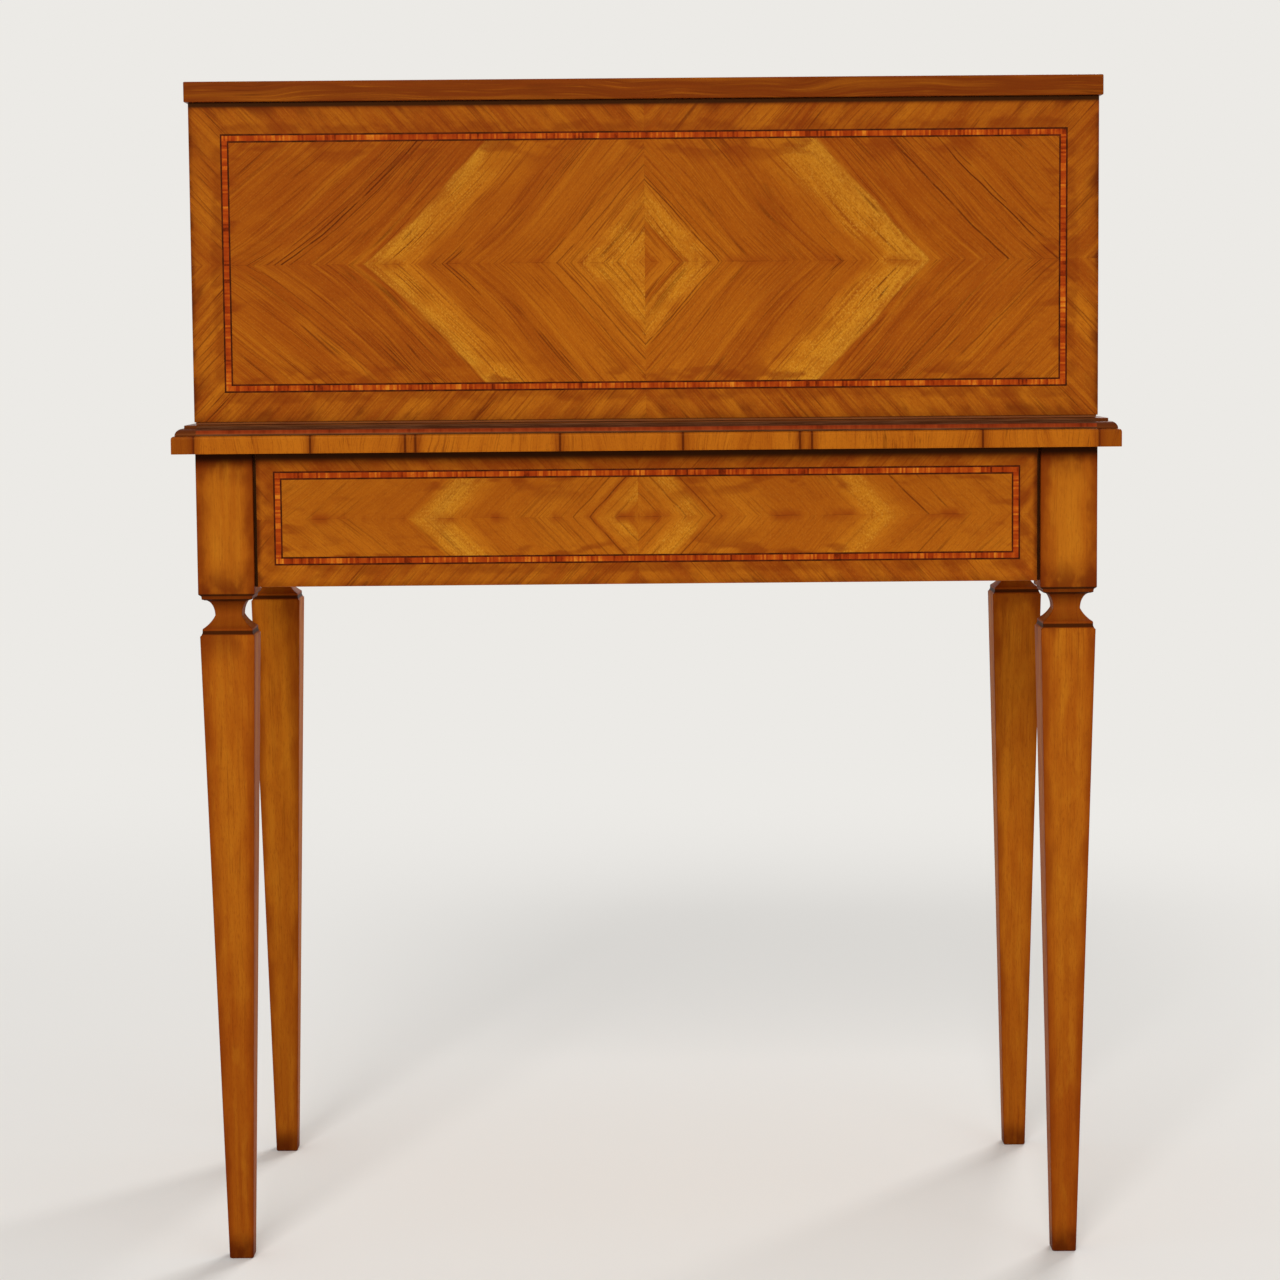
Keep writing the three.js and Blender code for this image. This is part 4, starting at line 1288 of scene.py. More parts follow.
FACES = {
    "case_back": Face("case_back_panel", OUT_BACK, (28, 26.2, 28), match_shift=(0, -1.3)),
    "back_frieze": Face("back_apron", OUT_BACK, FRIEZE_INSETS, apron_width, match_shift=(-8, -0.9)),
    "left_frieze": Face("left_apron", OUT_LEFT, FRIEZE_INSETS, apron_depth),
    "right_frieze": Face("right_apron", OUT_RIGHT, FRIEZE_INSETS, apron_depth),
    "case_left": Face("case_left_side", OUT_LEFT, CASE_SIDE_INSETS),
    "case_right": Face("case_right_side", OUT_RIGHT, CASE_SIDE_INSETS),
    "left_door": Face("left_door", OUT_FRONT, DOOR_INSETS),
    "right_door": Face("right_door", OUT_FRONT, DOOR_INSETS),
    "drawer_front": Face("frieze_drawer_front", OUT_FRONT, (14, 13, 13)),
    "desk_field": Face("desk_top", OUT_UP, (30, 22, 24), field_width, field_depth),
    "case_lid": Face("case_top", OUT_UP, (26, 26, 26)),
    "left_small_front": Face("left_small_drawer_front", OUT_FRONT, SMALL_INSETS),
    "right_small_front": Face("right_small_drawer_front", OUT_FRONT, SMALL_INSETS),
}
VENEER_OF = {
    "case_back": UPPER_VENEER,
    "desk_field": UPPER_VENEER,
    "case_lid": UPPER_VENEER,
    "back_frieze": FRIEZE_VENEER,
    "drawer_front": FRIEZE_VENEER,
}
# How far down, in millimetres, the painted shadow under an overhang reaches on each face
SHADE_OF = {"case_back": 3, "back_frieze": 6, "left_frieze": 6, "right_frieze": 6}
VENEERS = {
    name: quartered_veneer(
        f"veneer_{name}",
        face,
        seed=51.0 + 7 * number,
        shade=SHADE_OF.get(name, 1),
        **VENEER_OF.get(name, SMALL_VENEER),
    )
    for number, (name, face) in enumerate(FACES.items())
}
print("Veneered faces:", len(VENEERS))

# %% Face the panels with their veneers
FACING = 0.9
GROOVE_AT_LEAST = 0.4
APRONS = {"back_frieze": X, "left_frieze": Y, "right_frieze": Y}
PANELS = {"case_back": X, "case_left": Z, "case_right": Z, "left_door": Z, "right_door": Z}


def panel_sides(face):
    """A chooser for panels: 0 for the veneered face, 1 for the four edges, 2 for the inner side"""

    def choose(normal, middle):
        turned_to = normal.dot(face.out)
        if turned_to > FACING:
            return 0
        return 2 if turned_to < -FACING else 1

    return choose


def apron_sides(face):
    """A chooser for aprons: 0 for the veneered face, 1 for the grooves beside it, 2 for the
    edges, 3 for the inner side"""
    level = face.level * sum(face.out)

    def choose(normal, middle):
        turned_to = normal.dot(face.out)
        if turned_to > FACING:
            return int(level - middle.dot(face.out) >= GROOVE_AT_LEAST)
        return 3 if turned_to < -FACING else 2

    return choose


for panel, axis in APRONS.items():
    woods = [VENEERS[panel], GROOVE_STAIN_AND_SHADE, WALNUT[axis], CARCASE[axis]]
    eased(FACES[panel].node, woods, apron_sides(FACES[panel]))
for panel, axis in PANELS.items():
    woods = [VENEERS[panel], WALNUT[Z], WALNUT[axis]]
    eased(FACES[panel].node, woods, panel_sides(FACES[panel]))
print("Aprons faced:", len(APRONS), "other panels:", len(PANELS))

# %% [markdown]
# Edges in cross-grain slips
#
# The edge of the desk top is banded across the grain, in lengths of a hand or so. Each
# length has its own tone, and a dark line marks where two meet. The lengths could be pieces
# of their own, but they lie flush, so the material tells them apart: white noise on the
# number of the length gives the tones, and the wood's own streaks run up and down.

# %% Cross-grain edging along one axis
LONG_JOINTS = (-405, -300.6, -215.7, -206.5, -77.2, 32.7, 137.2, 148, 300.7, 405)
SHORT_JOINTS = (-225, -140, -48, 21, 133, 225)


def cross_grain_edge(name, axis, joints, seed):
    material, start = new_material(name)
    place = surface_place(start)
    along_edge = place[axis]
    height = place[Z]
    length = along_edge.over(joints[0])
    fade = abs(along_edge - joints[0])
    for middle in joints[1:]:
        length = length + along_edge.over(middle)
        fade = fade.least(abs(along_edge - middle))
    settings = {"noise_dimensions": "1D"}
    tone = length.node("ShaderNodeTexWhiteNoise", settings, {"W": length + seed}, "Value")
    drift = noise(along_edge / 31, height / 300, seed).rise(0.35, 0.7)
    base = mixed(tone * 0.55 + drift * 0.5, HONEY, colour(180, 101, 18))
    wood, pores = figured(base, along_edge, height * 2, length + seed, 0.7)
    wood = mixed(fade.rise(9, 0.5) * 0.6, wood, MAHOGANY)
    wood = mixed(fade.rise(1.5, 0.6) * 0.85, wood, UMBER)
    wood = mixed(abs(along_edge).over(joints[-1]) * 0.6, wood, colour(104, 36, 4))
    varnished(start, wood, pores)
    return material


EDGE_X = cross_grain_edge("edge_long", X, LONG_JOINTS, 5.0)
EDGE_Y = cross_grain_edge("edge_short", Y, SHORT_JOINTS, 8.0)
print("Joints to an edge:", len(LONG_JOINTS), "and", len(SHORT_JOINTS))

# %% [markdown]
# Dovetails
#
# A drawer's sides meet its front in lapped dovetails: fans of pale side wood let into the
# ends of the walnut front, hidden from the front by a thin lap. They show only when the
# drawer is open. Their outline lies flush in the wood, so it is drawn in the material: a
# tail is as wide as its slope says at each depth, and the tails repeat up the end.

# %% Draw dovetails on a drawer front's ends
DOVETAIL_SLOPE = 0.16
TAIL_SHARE = 0.27
GLUE_REACH = 0.4


def dovetailed_end(name, drawer_front, lap, pitch):
    low, high = solid_corners(drawer_front)
    material, start = new_material(name)
    x, y, z = surface_place(start)
    step = ((z - low.z) / pitch).math("FRACT") - 0.5
    tail_half_width = (y - low.y) * DOVETAIL_SLOPE + pitch * TAIL_SHARE
    in_tail = tail_half_width - abs(step) * pitch
    before_lap = high.y - lap - y
    tail = in_tail.rise(-0.1, 0.1) * before_lap.rise(-0.1, 0.1)
    in_joint = in_tail.over(-GLUE_REACH) * before_lap.over(-GLUE_REACH)
    glue_line = abs(in_tail).least(abs(before_lap)).rise(0.35, 0.1) * in_joint
    line = z + (noise(y / 60, z / 30, 3.0) - 0.5) * 8
    streak = noise(line / 1.6, y / 60, 5.0, 3)
    pale = mixed(streak.rise(0.45, 0.75) * 0.5, SATINWOOD, PALE_STREAK)
    rings = noise(x / 5, (y * y + z * 9).math("SQRT") / 1.6, 9.0, 2)
    dark = mixed(rings.rise(0.4, 0.65), CHESTNUT, MAHOGANY)
    wood = mixed(glue_line * 0.8, mixed(tail, dark, pale), UMBER)
    varnished(start, wood, 1 - streak, 0.5)
    return material


def drawer_front_sides(normal, middle):
    """A chooser for drawer fronts: 0 for the face, 1 for its edges, 2 for the inner side and 3
    for the ends"""
    if abs(normal.x) > FACING:
        return 3
    if normal.y > FACING:
        return 0
    return 2 if normal.y < -FACING else 1


WIDE_DOVETAILS = dovetailed_end("wide_dovetails", "frieze_drawer_front", lap=5, pitch=20.2)
SMALL_DOVETAILS = dovetailed_end("small_dovetails", "left_small_drawer_front", lap=3, pitch=15.2)
ENDS_OF = {
    "drawer_front": WIDE_DOVETAILS,
    "left_small_front": SMALL_DOVETAILS,
    "right_small_front": SMALL_DOVETAILS,
}
for front, front_ends in ENDS_OF.items():
    woods = [VENEERS[front], WALNUT[X], LINING[X], front_ends]
    eased(FACES[front].node, woods, drawer_front_sides)
print("Drawer fronts:", list(ENDS_OF))

# %% [markdown]
# Laying the inlaid bands
#
# The orange and red slips repeat hundreds of times, which is work for Geometry Nodes: a
# line of points, a slip on each, and a random tone stored with each slip. The group's
# inputs are the run's length, the slip's length, width and thickness, a seed and a wood.
# Modelling each slip by hand would give the same band, but not one that fits any run. The
# slips stand a tenth of a millimetre proud, as old inlay does. The result is baked to a
# plain mesh before it is laid on its face.

# %% A Geometry Nodes tree, written line by line


class Tree:
    """Adds nodes to a Geometry Nodes group. Inputs are named as the node shows them."""

    def __init__(self, group):
        self.group = group

    def link(self, source, target):
        if isinstance(source, (int, float)):
            target.default_value = source
        else:
            self.group.links.new(source, target)

    def node(self, kind, settings, inputs):
        made = self.group.nodes.new(kind)
        for name, setting in settings.items():
            setattr(made, name, setting)
        for name, source in inputs.items():
            self.link(source, made.inputs[name])
        return made

    def sum(self, operation, first, second):
        made = self.node("ShaderNodeMath", {"operation": operation}, {})
        self.link(first, made.inputs[0])
        self.link(second, made.inputs[1])
        return made.outputs[0]

    def vector(self, x, y, z):
        return self.node("ShaderNodeCombineXYZ", {}, {"X": x, "Y": y, "Z": z}).outputs[0]

    def first_shown(self, sockets, name="Value"):
        """Of the sockets that a node keeps under one name for each data type, the one in use"""
        return next(socket for socket in sockets if socket.enabled and socket.name == name)

    def finish(self, geometry, material):
        """Realize the instances, give them a material and send them to the output"""
        real = self.node("GeometryNodeRealizeInstances", {}, {"Geometry": geometry})
        dressed = self.node("GeometryNodeSetMaterial", {}, {"Geometry": real.outputs["Geometry"]})
        self.link(material, dressed.inputs["Material"])
        result = self.group.nodes.new("NodeGroupOutput")
        self.link(dressed.outputs["Geometry"], result.inputs[0])


def new_tree(name, inputs):
    """A group's tree, what the group is given, and the identifier of each of its inputs"""
    group = bpy.data.node_groups.new(name, "GeometryNodeTree")
    group.interface.new_socket("Geometry", in_out="OUTPUT", socket_type="NodeSocketGeometry")
    keys = {}
    for label, (kind, default) in inputs.items():
        socket = group.interface.new_socket(label, in_out="INPUT", socket_type=f"NodeSocket{kind}")
        if default is not None:
            socket.default_value = default
        keys[label] = socket.identifier
    return Tree(group), group.nodes.new("NodeGroupInput").outputs, keys


# %% A Geometry Nodes group that cuts a run of slips
SLIP_LENGTH = 1.7
SLIP_THICKNESS = 0.5
PROUD = 0.12
SLIP_INPUTS = {
    "Run": ("Float", 0.1),
    "Slip": ("Float", SLIP_LENGTH * MM),
    "Width": ("Float", CORE_WIDTH * MM),
    "Thickness": ("Float", SLIP_THICKNESS * MM),
    "Seed": ("Int", 1),
    "Wood": ("Material", None),
}


def slip_run_group():
    tree, given, keys = new_tree("slip_run", SLIP_INPUTS)
    count = tree.sum("ROUND", tree.sum("DIVIDE", given["Run"], given["Slip"]), 0)
    pitch = tree.sum("DIVIDE", given["Run"], count)
    first_middle = tree.sum("MULTIPLY", tree.sum("SUBTRACT", pitch, given["Run"]), 0.5)
    line = tree.node("GeometryNodeMeshLine", {"mode": "OFFSET"}, {"Count": count})
    tree.link(tree.vector(first_middle, 0, 0), line.inputs["Start Location"])
    tree.link(tree.vector(pitch, 0, 0), line.inputs["Offset"])
    slip = tree.node("GeometryNodeMeshCube", {}, {})
    tree.link(tree.vector(pitch, given["Width"], given["Thickness"]), slip.inputs["Size"])
    placed = tree.node("GeometryNodeInstanceOnPoints", {}, {"Points": line.outputs["Mesh"]})
    tree.link(slip.outputs["Mesh"], placed.inputs["Instance"])
    tone = tree.node("FunctionNodeRandomValue", {"data_type": "FLOAT"}, {"Seed": given["Seed"]})
    settings = {"data_type": "FLOAT", "domain": "INSTANCE"}
    slips = {"Geometry": placed.outputs["Instances"]}
    store = tree.node("GeometryNodeStoreNamedAttribute", settings, slips)
    store.inputs["Name"].default_value = "tone"
    tree.link(tree.first_shown(tone.outputs), tree.first_shown(store.inputs))
    tree.finish(store.outputs["Geometry"], given["Wood"])
    return tree.group, keys


SLIP_RUN, SLIP_KEYS = slip_run_group()
print("A run of slips is given:", list(SLIP_KEYS))

# %% Bake a group to a plain mesh


def baked(group, values):
    """The mesh that a Geometry Nodes group makes with these values, given by socket identifier"""
    carrier = bpy.data.objects.new("carrier", bpy.data.meshes.new("carrier"))
    bpy.context.scene.collection.objects.link(carrier)
    modifier = carrier.modifiers.new("nodes", "NODES")
    modifier.node_group = group
    for key, value in values.items():
        modifier[key] = value
    bpy.context.view_layer.update()
    shown = carrier.evaluated_get(bpy.context.evaluated_depsgraph_get())
    mesh = bpy.data.meshes.new_from_object(shown)
    bpy.data.objects.remove(carrier)
    return mesh


# %% Lay the bands on their faces


def laid(face, across, up, turned):
    """The place of a strip whose middle is at across and up. A turned strip runs upwards."""
    along_axis = Vector((0, 0, 0))
    along_axis[face.axes[1] if turned else face.axes[0]] = 1
    width_axis = face.out.cross(along_axis)
    turn = Matrix((along_axis, width_axis, face.out)).transposed().to_4x4()
    lift = PROUD - SLIP_THICKNESS / 2
    return Matrix.Translation(face.place(across, up, lift) * MM) @ turn


def band_runs(face, inset, width):
    """The four runs of a band whose outer edge lies inset inside the face's band. Each is its
    middle across and up, whether it is turned, and its length."""
    left, right = face.band_across[0] + inset, face.band_across[1] - inset
    low, high = face.band_up[0] + inset, face.band_up[1] - inset
    middle_across, middle_up = (left + right) / 2, (low + high) / 2
    return [
        (middle_across, low + width / 2, False, right - left),
        (middle_across, high - width / 2, False, right - left),
        (left + width / 2, middle_up, True, high - low - 2 * width),
        (right - width / 2, middle_up, True, high - low - 2 * width),
    ]


def lay_band(name, face, seed):
    """The slips and the two strings of one face's band, as two pieces"""
    slips = bmesh.new()
    for number, (across, up, turned, length) in enumerate(band_runs(face, STRING_WIDTH, CORE_WIDTH)):
        values = {
            SLIP_KEYS["Run"]: length * MM,
            SLIP_KEYS["Seed"]: seed + number,
            SLIP_KEYS["Wood"]: SLIPS,
        }
        mesh = baked(SLIP_RUN, values)
        mesh.transform(laid(face, across, up, turned))
        slips.from_mesh(mesh)
        bpy.data.meshes.remove(mesh)
    strings = bmesh.new()
    for inset in (0, STRING_WIDTH + CORE_WIDTH):
        for across, up, turned, length in band_runs(face, inset, STRING_WIDTH):
            place = laid(face, across, up, turned)
            size = Matrix.Diagonal((length * MM, STRING_WIDTH * MM, SLIP_THICKNESS * MM, 1))
            bmesh.ops.create_cube(strings, size=1, matrix=place @ size)
    for kind, work, material in (("slips", slips, SLIPS), ("strings", strings, STRINGS)):
        bmesh.ops.recalc_face_normals(work, faces=work.faces)
        mesh = bpy.data.meshes.new(f"{name}_{kind}")
        work.to_mesh(mesh)
        work.free()
        mesh.materials.append(material)
        show(mesh.name, mesh, BODY_OF[face.node], "veneer")


for band_number, (band_name, band_face) in enumerate(FACES.items()):
    lay_band(band_name, band_face, 10 * band_number + 3)
print("Bands laid:", len(FACES))

# %% [markdown]
# The desk top and its moulding
#
# The slab's edge takes the cross-grain edging and its field the veneer. A thin lipping
# under the edge makes it look heavier, and is cut away over the writing slide, which has
# to pass. A thin packing fills the gap between the case's walls and the desk top. The
# moulding is an ovolo, a quarter of an ellipse, under a small fillet. Its four lengths are
# skinned from two sections each, pushed out at the ends so that they meet in mitres.

# %% Dress the slab and the case's top
SLAB_ROUND = 2.8
LEFT_SHARP = 0.01
slab_low, slab_high = solid_corners("desk_top")
moulding_foot = solid_corners("moulding_back")[0].z


def slab_face(normal, middle):
    """A chooser for the slab: 0 for its field, 1 for its long edges, 2 for its short edges and
    3 for its underside"""
    if normal.z > FACING:
        return int(middle.z < slab_high.z - 1)
    if normal.z < -FACING:
        return 3
    return 1 if abs(normal.y) > 0.5 else 2


def top_face(normal, middle):
    """A chooser for the case's top: 0 for its upper face, 1 for its long edges and its
    underside, 2 for its short edges"""
    if normal.z > FACING:
        return 0
    return 1 if abs(normal.y) > 0.5 or normal.z < -FACING else 2


slab_rim = [
    (SLAB_ROUND, lambda middle: abs(middle.z - moulding_foot) < 1),
    (LEFT_SHARP, lambda middle: middle.z < slab_low.z + 0.1),
]
slab_woods = [VENEERS["desk_field"], EDGE_X, EDGE_Y, CARCASE[X]]
eased("desk_top", slab_woods, slab_face, arris=0.5, rounds=slab_rim)
eased("case_top", [VENEERS["case_lid"], *DARK_EDGE], top_face, arris=0.9)
slab_edge = round(moulding_foot - slab_low.z, 1)
print("Desk top at", round(slab_high.z, 1), "mm, its edge", slab_edge, "mm thick")

# %% The lipping under the slab's edge and the packing under the case
LIPPING_DROP = 2.3
LIPPING_WIDTH = 16
SLIDE_CLEARANCE = 1.2
PACKING_SETBACK = 1.4
PACKING_GAP = 0.05
# Painted light: the packing is paler than its own wood, to make up for the shade of the recess it sits in
PACKING_BROWN_AND_PAINTED_LIGHT = colour(126, 72, 40)
STRIP_EASE = 0.4


def lay_strip(name, outline, low, high, side_of, materials, slot):
    """A flat strip between two heights. outline is its plan, one corner after another."""
    work = bmesh.new()
    skin(work, [[Vector((x, y, height)) for x, y in outline] for height in (low, high)])
    for face in work.faces:
        face.material_index = side_of(face.normal)
    ease_edges(work, LEFT_SHARP, [(STRIP_EASE, lambda middle: middle.z < low + 0.1)])
    mesh = mesh_of(work, name, materials)
    return show(name, mesh, BODY_OF["desk_top"], slot)


def mirrored(half):
    """A plan from its left half: the same corners again on the right, in turned order"""
    return half + [(-x, y) for x, y in half[::-1]]


notch = solid_corners("writing_slide_board")[1].x + SLIDE_CLEARANCE
inner_x = slab_low.x + LIPPING_WIDTH
inner_y = slab_high.y - LIPPING_WIDTH
lipping_plan = [
    (inner_x, -inner_y),
    (inner_x, inner_y),
    (-notch, inner_y),
    (-notch, slab_high.y),
    (slab_low.x, slab_high.y),
    (slab_low.x, slab_low.y),
]
lipping = lay_strip(
    "desk_top_lipping",
    mirrored(lipping_plan),
    slab_low.z - LIPPING_DROP,
    slab_low.z,
    lambda normal: 2 if abs(normal.z) > 0.5 else int(abs(normal.x) > 0.5),
    [EDGE_X, EDGE_Y, WALNUT[X]],
    "edging",
)
case_low = solid_corners("case_back_panel")[0]
floor_low, floor_high = solid_corners("case_bottom")
floor_x = floor_low.x - PACKING_GAP
packing_x = case_low.x + PACKING_SETBACK
packing_plan = [
    (floor_x, floor_low.y - PACKING_GAP),
    (floor_x, floor_high.y),
    (packing_x, floor_high.y),
    (packing_x, case_low.y + PACKING_SETBACK),
]
packing = lay_strip(
    "case_packing",
    mirrored(packing_plan),
    floor_low.z + PACKING_GAP,
    case_low.z - PACKING_GAP,
    lambda normal: 0,
    [solid_wood("packing_strip", X, PACKING_BROWN_AND_PAINTED_LIGHT, 25.0, 0.4)],
    "walnut",
)
print("Strips laid:", lipping.name, "and", packing.name)

# %% The moulding's section and its four mitred lengths
OVOLO_TOP_INSET = 6.9
OVOLO_RISE = 6.4
FILLET_SETBACK = 0.9
OVOLO_STEPS = 14
MOULDING_EASE = 0.35
MOULDING_STOPS = [
    (0.0, SLIP_BROWN),
    (0.35, colour(126, 42, 12)),
    (0.7, colour(142, 56, 20)),
    (1.0, colour(170, 80, 30)),
]


def moulding_section(width, height):
    """(out, up) of the moulding, from its inner foot outwards and up again"""
    ovolo_out = width - OVOLO_TOP_INSET
    section = [(0, 0), (width, 0)]
    for step in range(OVOLO_STEPS + 1):
        angle = math.pi / 2 * step / OVOLO_STEPS
        section.append((ovolo_out + OVOLO_TOP_INSET * math.cos(angle), OVOLO_RISE * math.sin(angle)))
    fillet = ovolo_out - FILLET_SETBACK
    section += [(fillet, OVOLO_RISE), (fillet, height - MOULDING_EASE), (fillet - MOULDING_EASE, height)]
    return section + [(0, height)]


def moulding_material(name, axis, slips_end):
    """Short slips on the ovolo between dark lines, plain dark wood past their ends, and a
    brown upper flat"""
    material, start = new_material(name)
    place = surface_place(start)
    along = place[axis]
    height = place[Z] - moulding_foot
    past_slips = abs(along).over(slips_end)
    segment = noise(along / 3.1, height / 40, 61.0 + axis, 1)
    run = noise(along / 21, 0.0, 71.0 + axis, 2)
    slips = coloured(start, MOULDING_STOPS, (segment - 0.5) * 0.9 + (run - 0.5) * 1.3 + 0.4)
    # The paler brown-grey is partly dust and partly a painted sheen, the pale room reflected on the dark
    # upper ovolo and fillet
    dust = noise(along / 40, height, 81.0, 2).rise(0.4, 0.7)
    dark = mixed(dust, colour(66, 32, 16), colour(98, 58, 36))
    dark = mixed(past_slips, dark, colour(88, 38, 12))
    in_slips = height.rise(1.2, 1.6) * height.rise(5.0, 4.4) * (1 - past_slips)
    patch = noise(along / 33, place[1 - axis] / 5, 91.0, 2).rise(0.3, 0.7)
    flat = mixed(patch, colour(116, 56, 18), colour(84, 34, 10))
    wood = mixed(height.rise(8.4, 9.1), mixed(in_slips, dark, slips), flat)
    varnished(start, wood, segment)
    return material


def mitred_length(node, out, material):
    """One length of moulding on the side that out points to"""
    low, high = solid_corners(node)
    direction = Vector(out)
    run_axis = 1 if out[0] else 0
    edge_axis = 1 - run_axis
    outer = high[edge_axis] if out[edge_axis] > 0 else -low[edge_axis]
    width = high[edge_axis] - low[edge_axis]
    inner = outer - width
    half_run = high[run_axis] - width
    rings = []
    for end in (-1, 1):
        ring = []
        for outwards, up in moulding_section(width, high.z - low.z):
            point = direction * (inner + outwards)
            point[run_axis] = end * (half_run + outwards)
            point.z = low.z + up
            ring.append(point)
        rings.append(ring)
    work = bmesh.new()
    skin(work, rings)
    mesh = mesh_of(work, f"{node}_run", [material])
    return show(mesh.name, mesh, BODY_OF[node], "edging", [node])


OVOLO_X = moulding_material("ovolo_long", X, field_side)
OVOLO_Y = moulding_material("ovolo_short", Y, -field_back)
MOULDINGS = {
    "moulding_back": (OUT_BACK, OVOLO_X),
    "moulding_front": (OUT_FRONT, OVOLO_X),
    "moulding_left": (OUT_LEFT, OVOLO_Y),
    "moulding_right": (OUT_RIGHT, OVOLO_Y),
}
for moulding, (faces_out, moulding_wood) in MOULDINGS.items():
    mitred_length(moulding, faces_out, moulding_wood)
print("Mitred lengths:", len(MOULDINGS))

# %% [markdown]
# Rails, runners, shelves and drawer boxes
#
# These pieces are plain boards, so a table names the wood and the axis its grain runs
# along, and a loop eases them all. Giving each its own short script would only repeat this.

# %% Ease the plain boards
PLAIN_BOARDS = {
    "front_bottom_rail": WALNUT[X],
    "front_slide_rail": WALNUT[X],
    "drawer_runner_left": CARCASE[Y],
    "drawer_runner_right": CARCASE[Y],
    "slide_guide_left": CARCASE[Y],
    "slide_guide_right": CARCASE[Y],
    "frieze_drawer_left_side": LINING[Y],
    "frieze_drawer_right_side": LINING[Y],
    "frieze_drawer_back": LINING[X],
    "frieze_drawer_bottom": LINING[X],
    "writing_slide_board": WALNUT[X],
    "case_bottom": WALNUT[X],
    "left_partition": WALNUT[Z],
    "right_partition": WALNUT[Z],
    "pigeonhole_shelf": WALNUT[X],
    "left_cupboard_shelf": WALNUT[X],
    "right_cupboard_shelf": WALNUT[X],
    "small_drawer_divider": WALNUT[Y],
    "left_door_stop": WALNUT[X],
    "right_door_stop": WALNUT[X],
    "left_small_drawer_box": LINING[Y],
    "right_small_drawer_box": LINING[Y],
}
for board_node, board_wood in PLAIN_BOARDS.items():
    eased(board_node, [board_wood], arris=0.4)
eased("writing_slide_leather", [LEATHER], arris=0.3)
print("Plain boards:", len(PLAIN_BOARDS))

# %% [markdown]
# Turned brass knobs and hinges
#
# A knob is an outline turned round its own axis. The solid has sixteen sides; the piece
# here has enough to look round, and its outline is drawn through the same points as a
# smooth curve. The hinges keep their solids' shape with eased edges.

# %% Turn the knobs
KNOB_SIDES = 40
KNOB_CURVE_STEPS = 5
KNOB_SHARES = [
    (0.86, 0),
    (0.86, 0.1),
    (0.5, 0.2),
    (0.42, 0.42),
    (0.78, 0.58),
    (1, 0.74),
    (0.9, 0.9),
    (0.5, 1),
]
KNOB_TIP_SHARE = 0.02


def smooth_line(points, steps):
    """A curve through points, with each span bent by its neighbours"""
    ends = [points[0], *points, points[-1]]
    line = []
    for before, first, second, after in zip(ends, ends[1:], ends[2:], ends[3:]):
        for step in range(steps):
            t = step / steps
            slope = (second - before) * t
            bend = (before * 2 - first * 5 + second * 4 - after) * t * t
            twist = (first * 3 - before - second * 3 + after) * t**3
            line.append((first * 2 + slope + bend + twist) / 2)
    return line + [points[-1]]


def turn_knob(node):
    """A knob from its outline. KNOB_SHARES are shares of its radius and of its reach, from
    the foot out."""
    low, high = solid_corners(node)
    centre = (low + high) / 2
    radius = (high.x - low.x) / 2
    reach = high.y - low.y
    outline = smooth_line([Vector((r * radius, h * reach)) for r, h in KNOB_SHARES], KNOB_CURVE_STEPS)
    outline.append(Vector((KNOB_TIP_SHARE * radius, reach)))
    angles = [2 * math.pi * side / KNOB_SIDES for side in range(KNOB_SIDES)]
    around = [Vector((math.cos(angle), 0, math.sin(angle))) for angle in angles]
    rings = []
    for point in outline:
        middle = Vector((centre.x, low.y + point.y, centre.z))
        rings.append([middle + spoke * min(point.x, radius) for spoke in around])
    work = bmesh.new()
    skin(work, rings)
    mesh = mesh_of(work, f"{node}_turned", [BRASS])
    return show(mesh.name, mesh, BODY_OF[node], "brass", [node])


KNOBS = [node for node in frame["nodes"] if node.endswith("_knob")]
for knob_node in KNOBS:
    turn_knob(knob_node)
HINGES = [node for node in frame["nodes"] if node.endswith("_leaf")]
for hinge_node in HINGES:
    eased(hinge_node, [BRASS], arris=0.18)
print("Knobs:", len(KNOBS), "hinge leaves:", len(HINGES))

# %% [markdown]
# Hinge screws
#
# Each hinge leaf is held by three slotted screws, and no two slots point the same way. A
# row of equal things with one random turn each is again work for Geometry Nodes: a line of
# points, a head on each, cut by a slot with a Mesh Boolean, and a random turn about its
# own axis. The heads stand a fifth of a millimetre proud of the leaf.

# %% A Geometry Nodes group that drives a row of screws
SCREWS_TO_A_LEAF = 3
SCREW_SPACING = 13.5
SCREW_RADIUS = 2.3
SCREW_HEIGHT = 0.6
SCREW_PROUD = 0.2
SCREW_SIDES = 20
SLOT_WIDTH = 0.6
SCREW_INPUTS = {
    "Count": ("Int", SCREWS_TO_A_LEAF),
    "Spacing": ("Float", SCREW_SPACING * MM),
    "Radius": ("Float", SCREW_RADIUS * MM),
    "Height": ("Float", SCREW_HEIGHT * MM),
    "Seed": ("Int", 1),
    "Metal": ("Material", None),
}


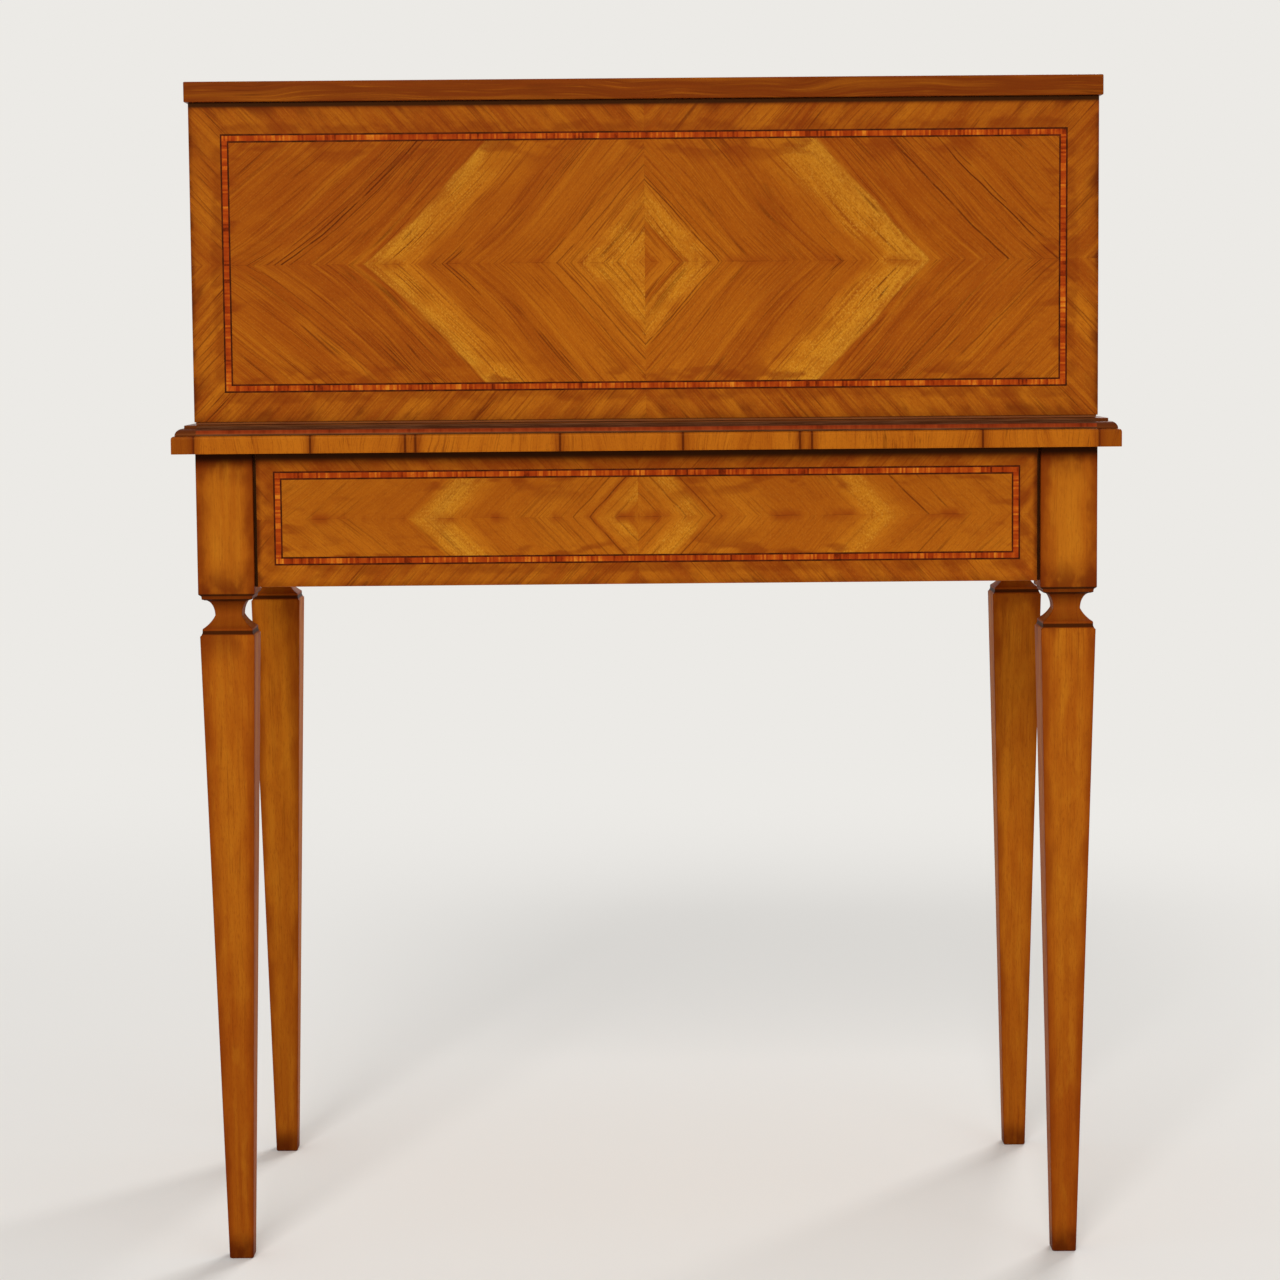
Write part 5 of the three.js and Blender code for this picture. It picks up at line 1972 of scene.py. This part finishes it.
def screw_row_group():
    tree, given, keys = new_tree("screw_row", SCREW_INPUTS)
    row = tree.node("GeometryNodeMeshLine", {"mode": "OFFSET"}, {"Count": given["Count"]})
    tree.link(tree.vector(given["Spacing"], 0, 0), row.inputs["Offset"])
    round_head = {"Radius": given["Radius"], "Depth": given["Height"], "Vertices": SCREW_SIDES}
    head = tree.node("GeometryNodeMeshCylinder", {}, round_head)
    slot = tree.node("GeometryNodeMeshCube", {}, {})
    slot_length = tree.sum("MULTIPLY", given["Radius"], 3)
    tree.link(tree.vector(slot_length, SLOT_WIDTH * MM, given["Height"]), slot.inputs["Size"])
    raised = tree.node("GeometryNodeTransform", {}, {"Geometry": slot.outputs["Mesh"]})
    slot_lift = tree.sum("MULTIPLY", given["Height"], 0.75)
    tree.link(tree.vector(0, 0, slot_lift), raised.inputs["Translation"])
    cut = tree.node("GeometryNodeMeshBoolean", {"operation": "DIFFERENCE"}, {})
    tree.link(head.outputs["Mesh"], cut.inputs["Mesh 1"])
    tree.link(raised.outputs["Geometry"], cut.inputs["Mesh 2"])
    turn = tree.node("FunctionNodeRandomValue", {"data_type": "FLOAT"}, {"Seed": given["Seed"]})
    tree.link(math.pi, tree.first_shown(turn.inputs, "Max"))
    placed = tree.node("GeometryNodeInstanceOnPoints", {}, {"Points": row.outputs["Mesh"]})
    tree.link(cut.outputs["Mesh"], placed.inputs["Instance"])
    tree.link(tree.vector(0, 0, tree.first_shown(turn.outputs)), placed.inputs["Rotation"])
    tree.finish(placed.outputs["Instances"], given["Metal"])
    return tree.group, keys


SCREW_ROW, SCREW_KEYS = screw_row_group()
print("A row of screws is given:", list(SCREW_KEYS))

# %% Drive the screws
LEAF_GAP = 1.0
SCREW_LINE_Y = -3.0


def drive_screws(leaf, seed):
    """Three screws in one hinge leaf, on the side that faces the other leaf. The hinge's line
    is the middle of its barrel, and so of the leaf's box."""
    low, high = solid_corners(leaf)
    hinge_line = (low.x + high.x) / 2
    side = 1 if hinge_line > 0 else -1
    out = Vector((-side if leaf.endswith("case_leaf") else side, 0, 0))
    level = hinge_line - out.x * LEAF_GAP / 2
    mesh = baked(SCREW_ROW, {SCREW_KEYS["Seed"]: seed, SCREW_KEYS["Metal"]: BRASS})
    up = Vector((0, 0, 1))
    turn = Matrix((up, out.cross(up), out)).transposed().to_4x4()
    first = (low.z + high.z) / 2 - SCREW_SPACING * (SCREWS_TO_A_LEAF - 1) / 2
    middle = Vector((level + out.x * (SCREW_PROUD - SCREW_HEIGHT / 2), SCREW_LINE_Y, first))
    mesh.transform(Matrix.Translation(middle * MM) @ turn)
    mesh.name = f"{leaf}_screws"
    for polygon in mesh.polygons:
        polygon.use_smooth = False
    return show(mesh.name, mesh, BODY_OF[leaf], "brass")


for leaf_number, hinge_leaf in enumerate(HINGES):
    drive_screws(hinge_leaf, leaf_number + 1)
print("Screws:", len(HINGES) * SCREWS_TO_A_LEAF)
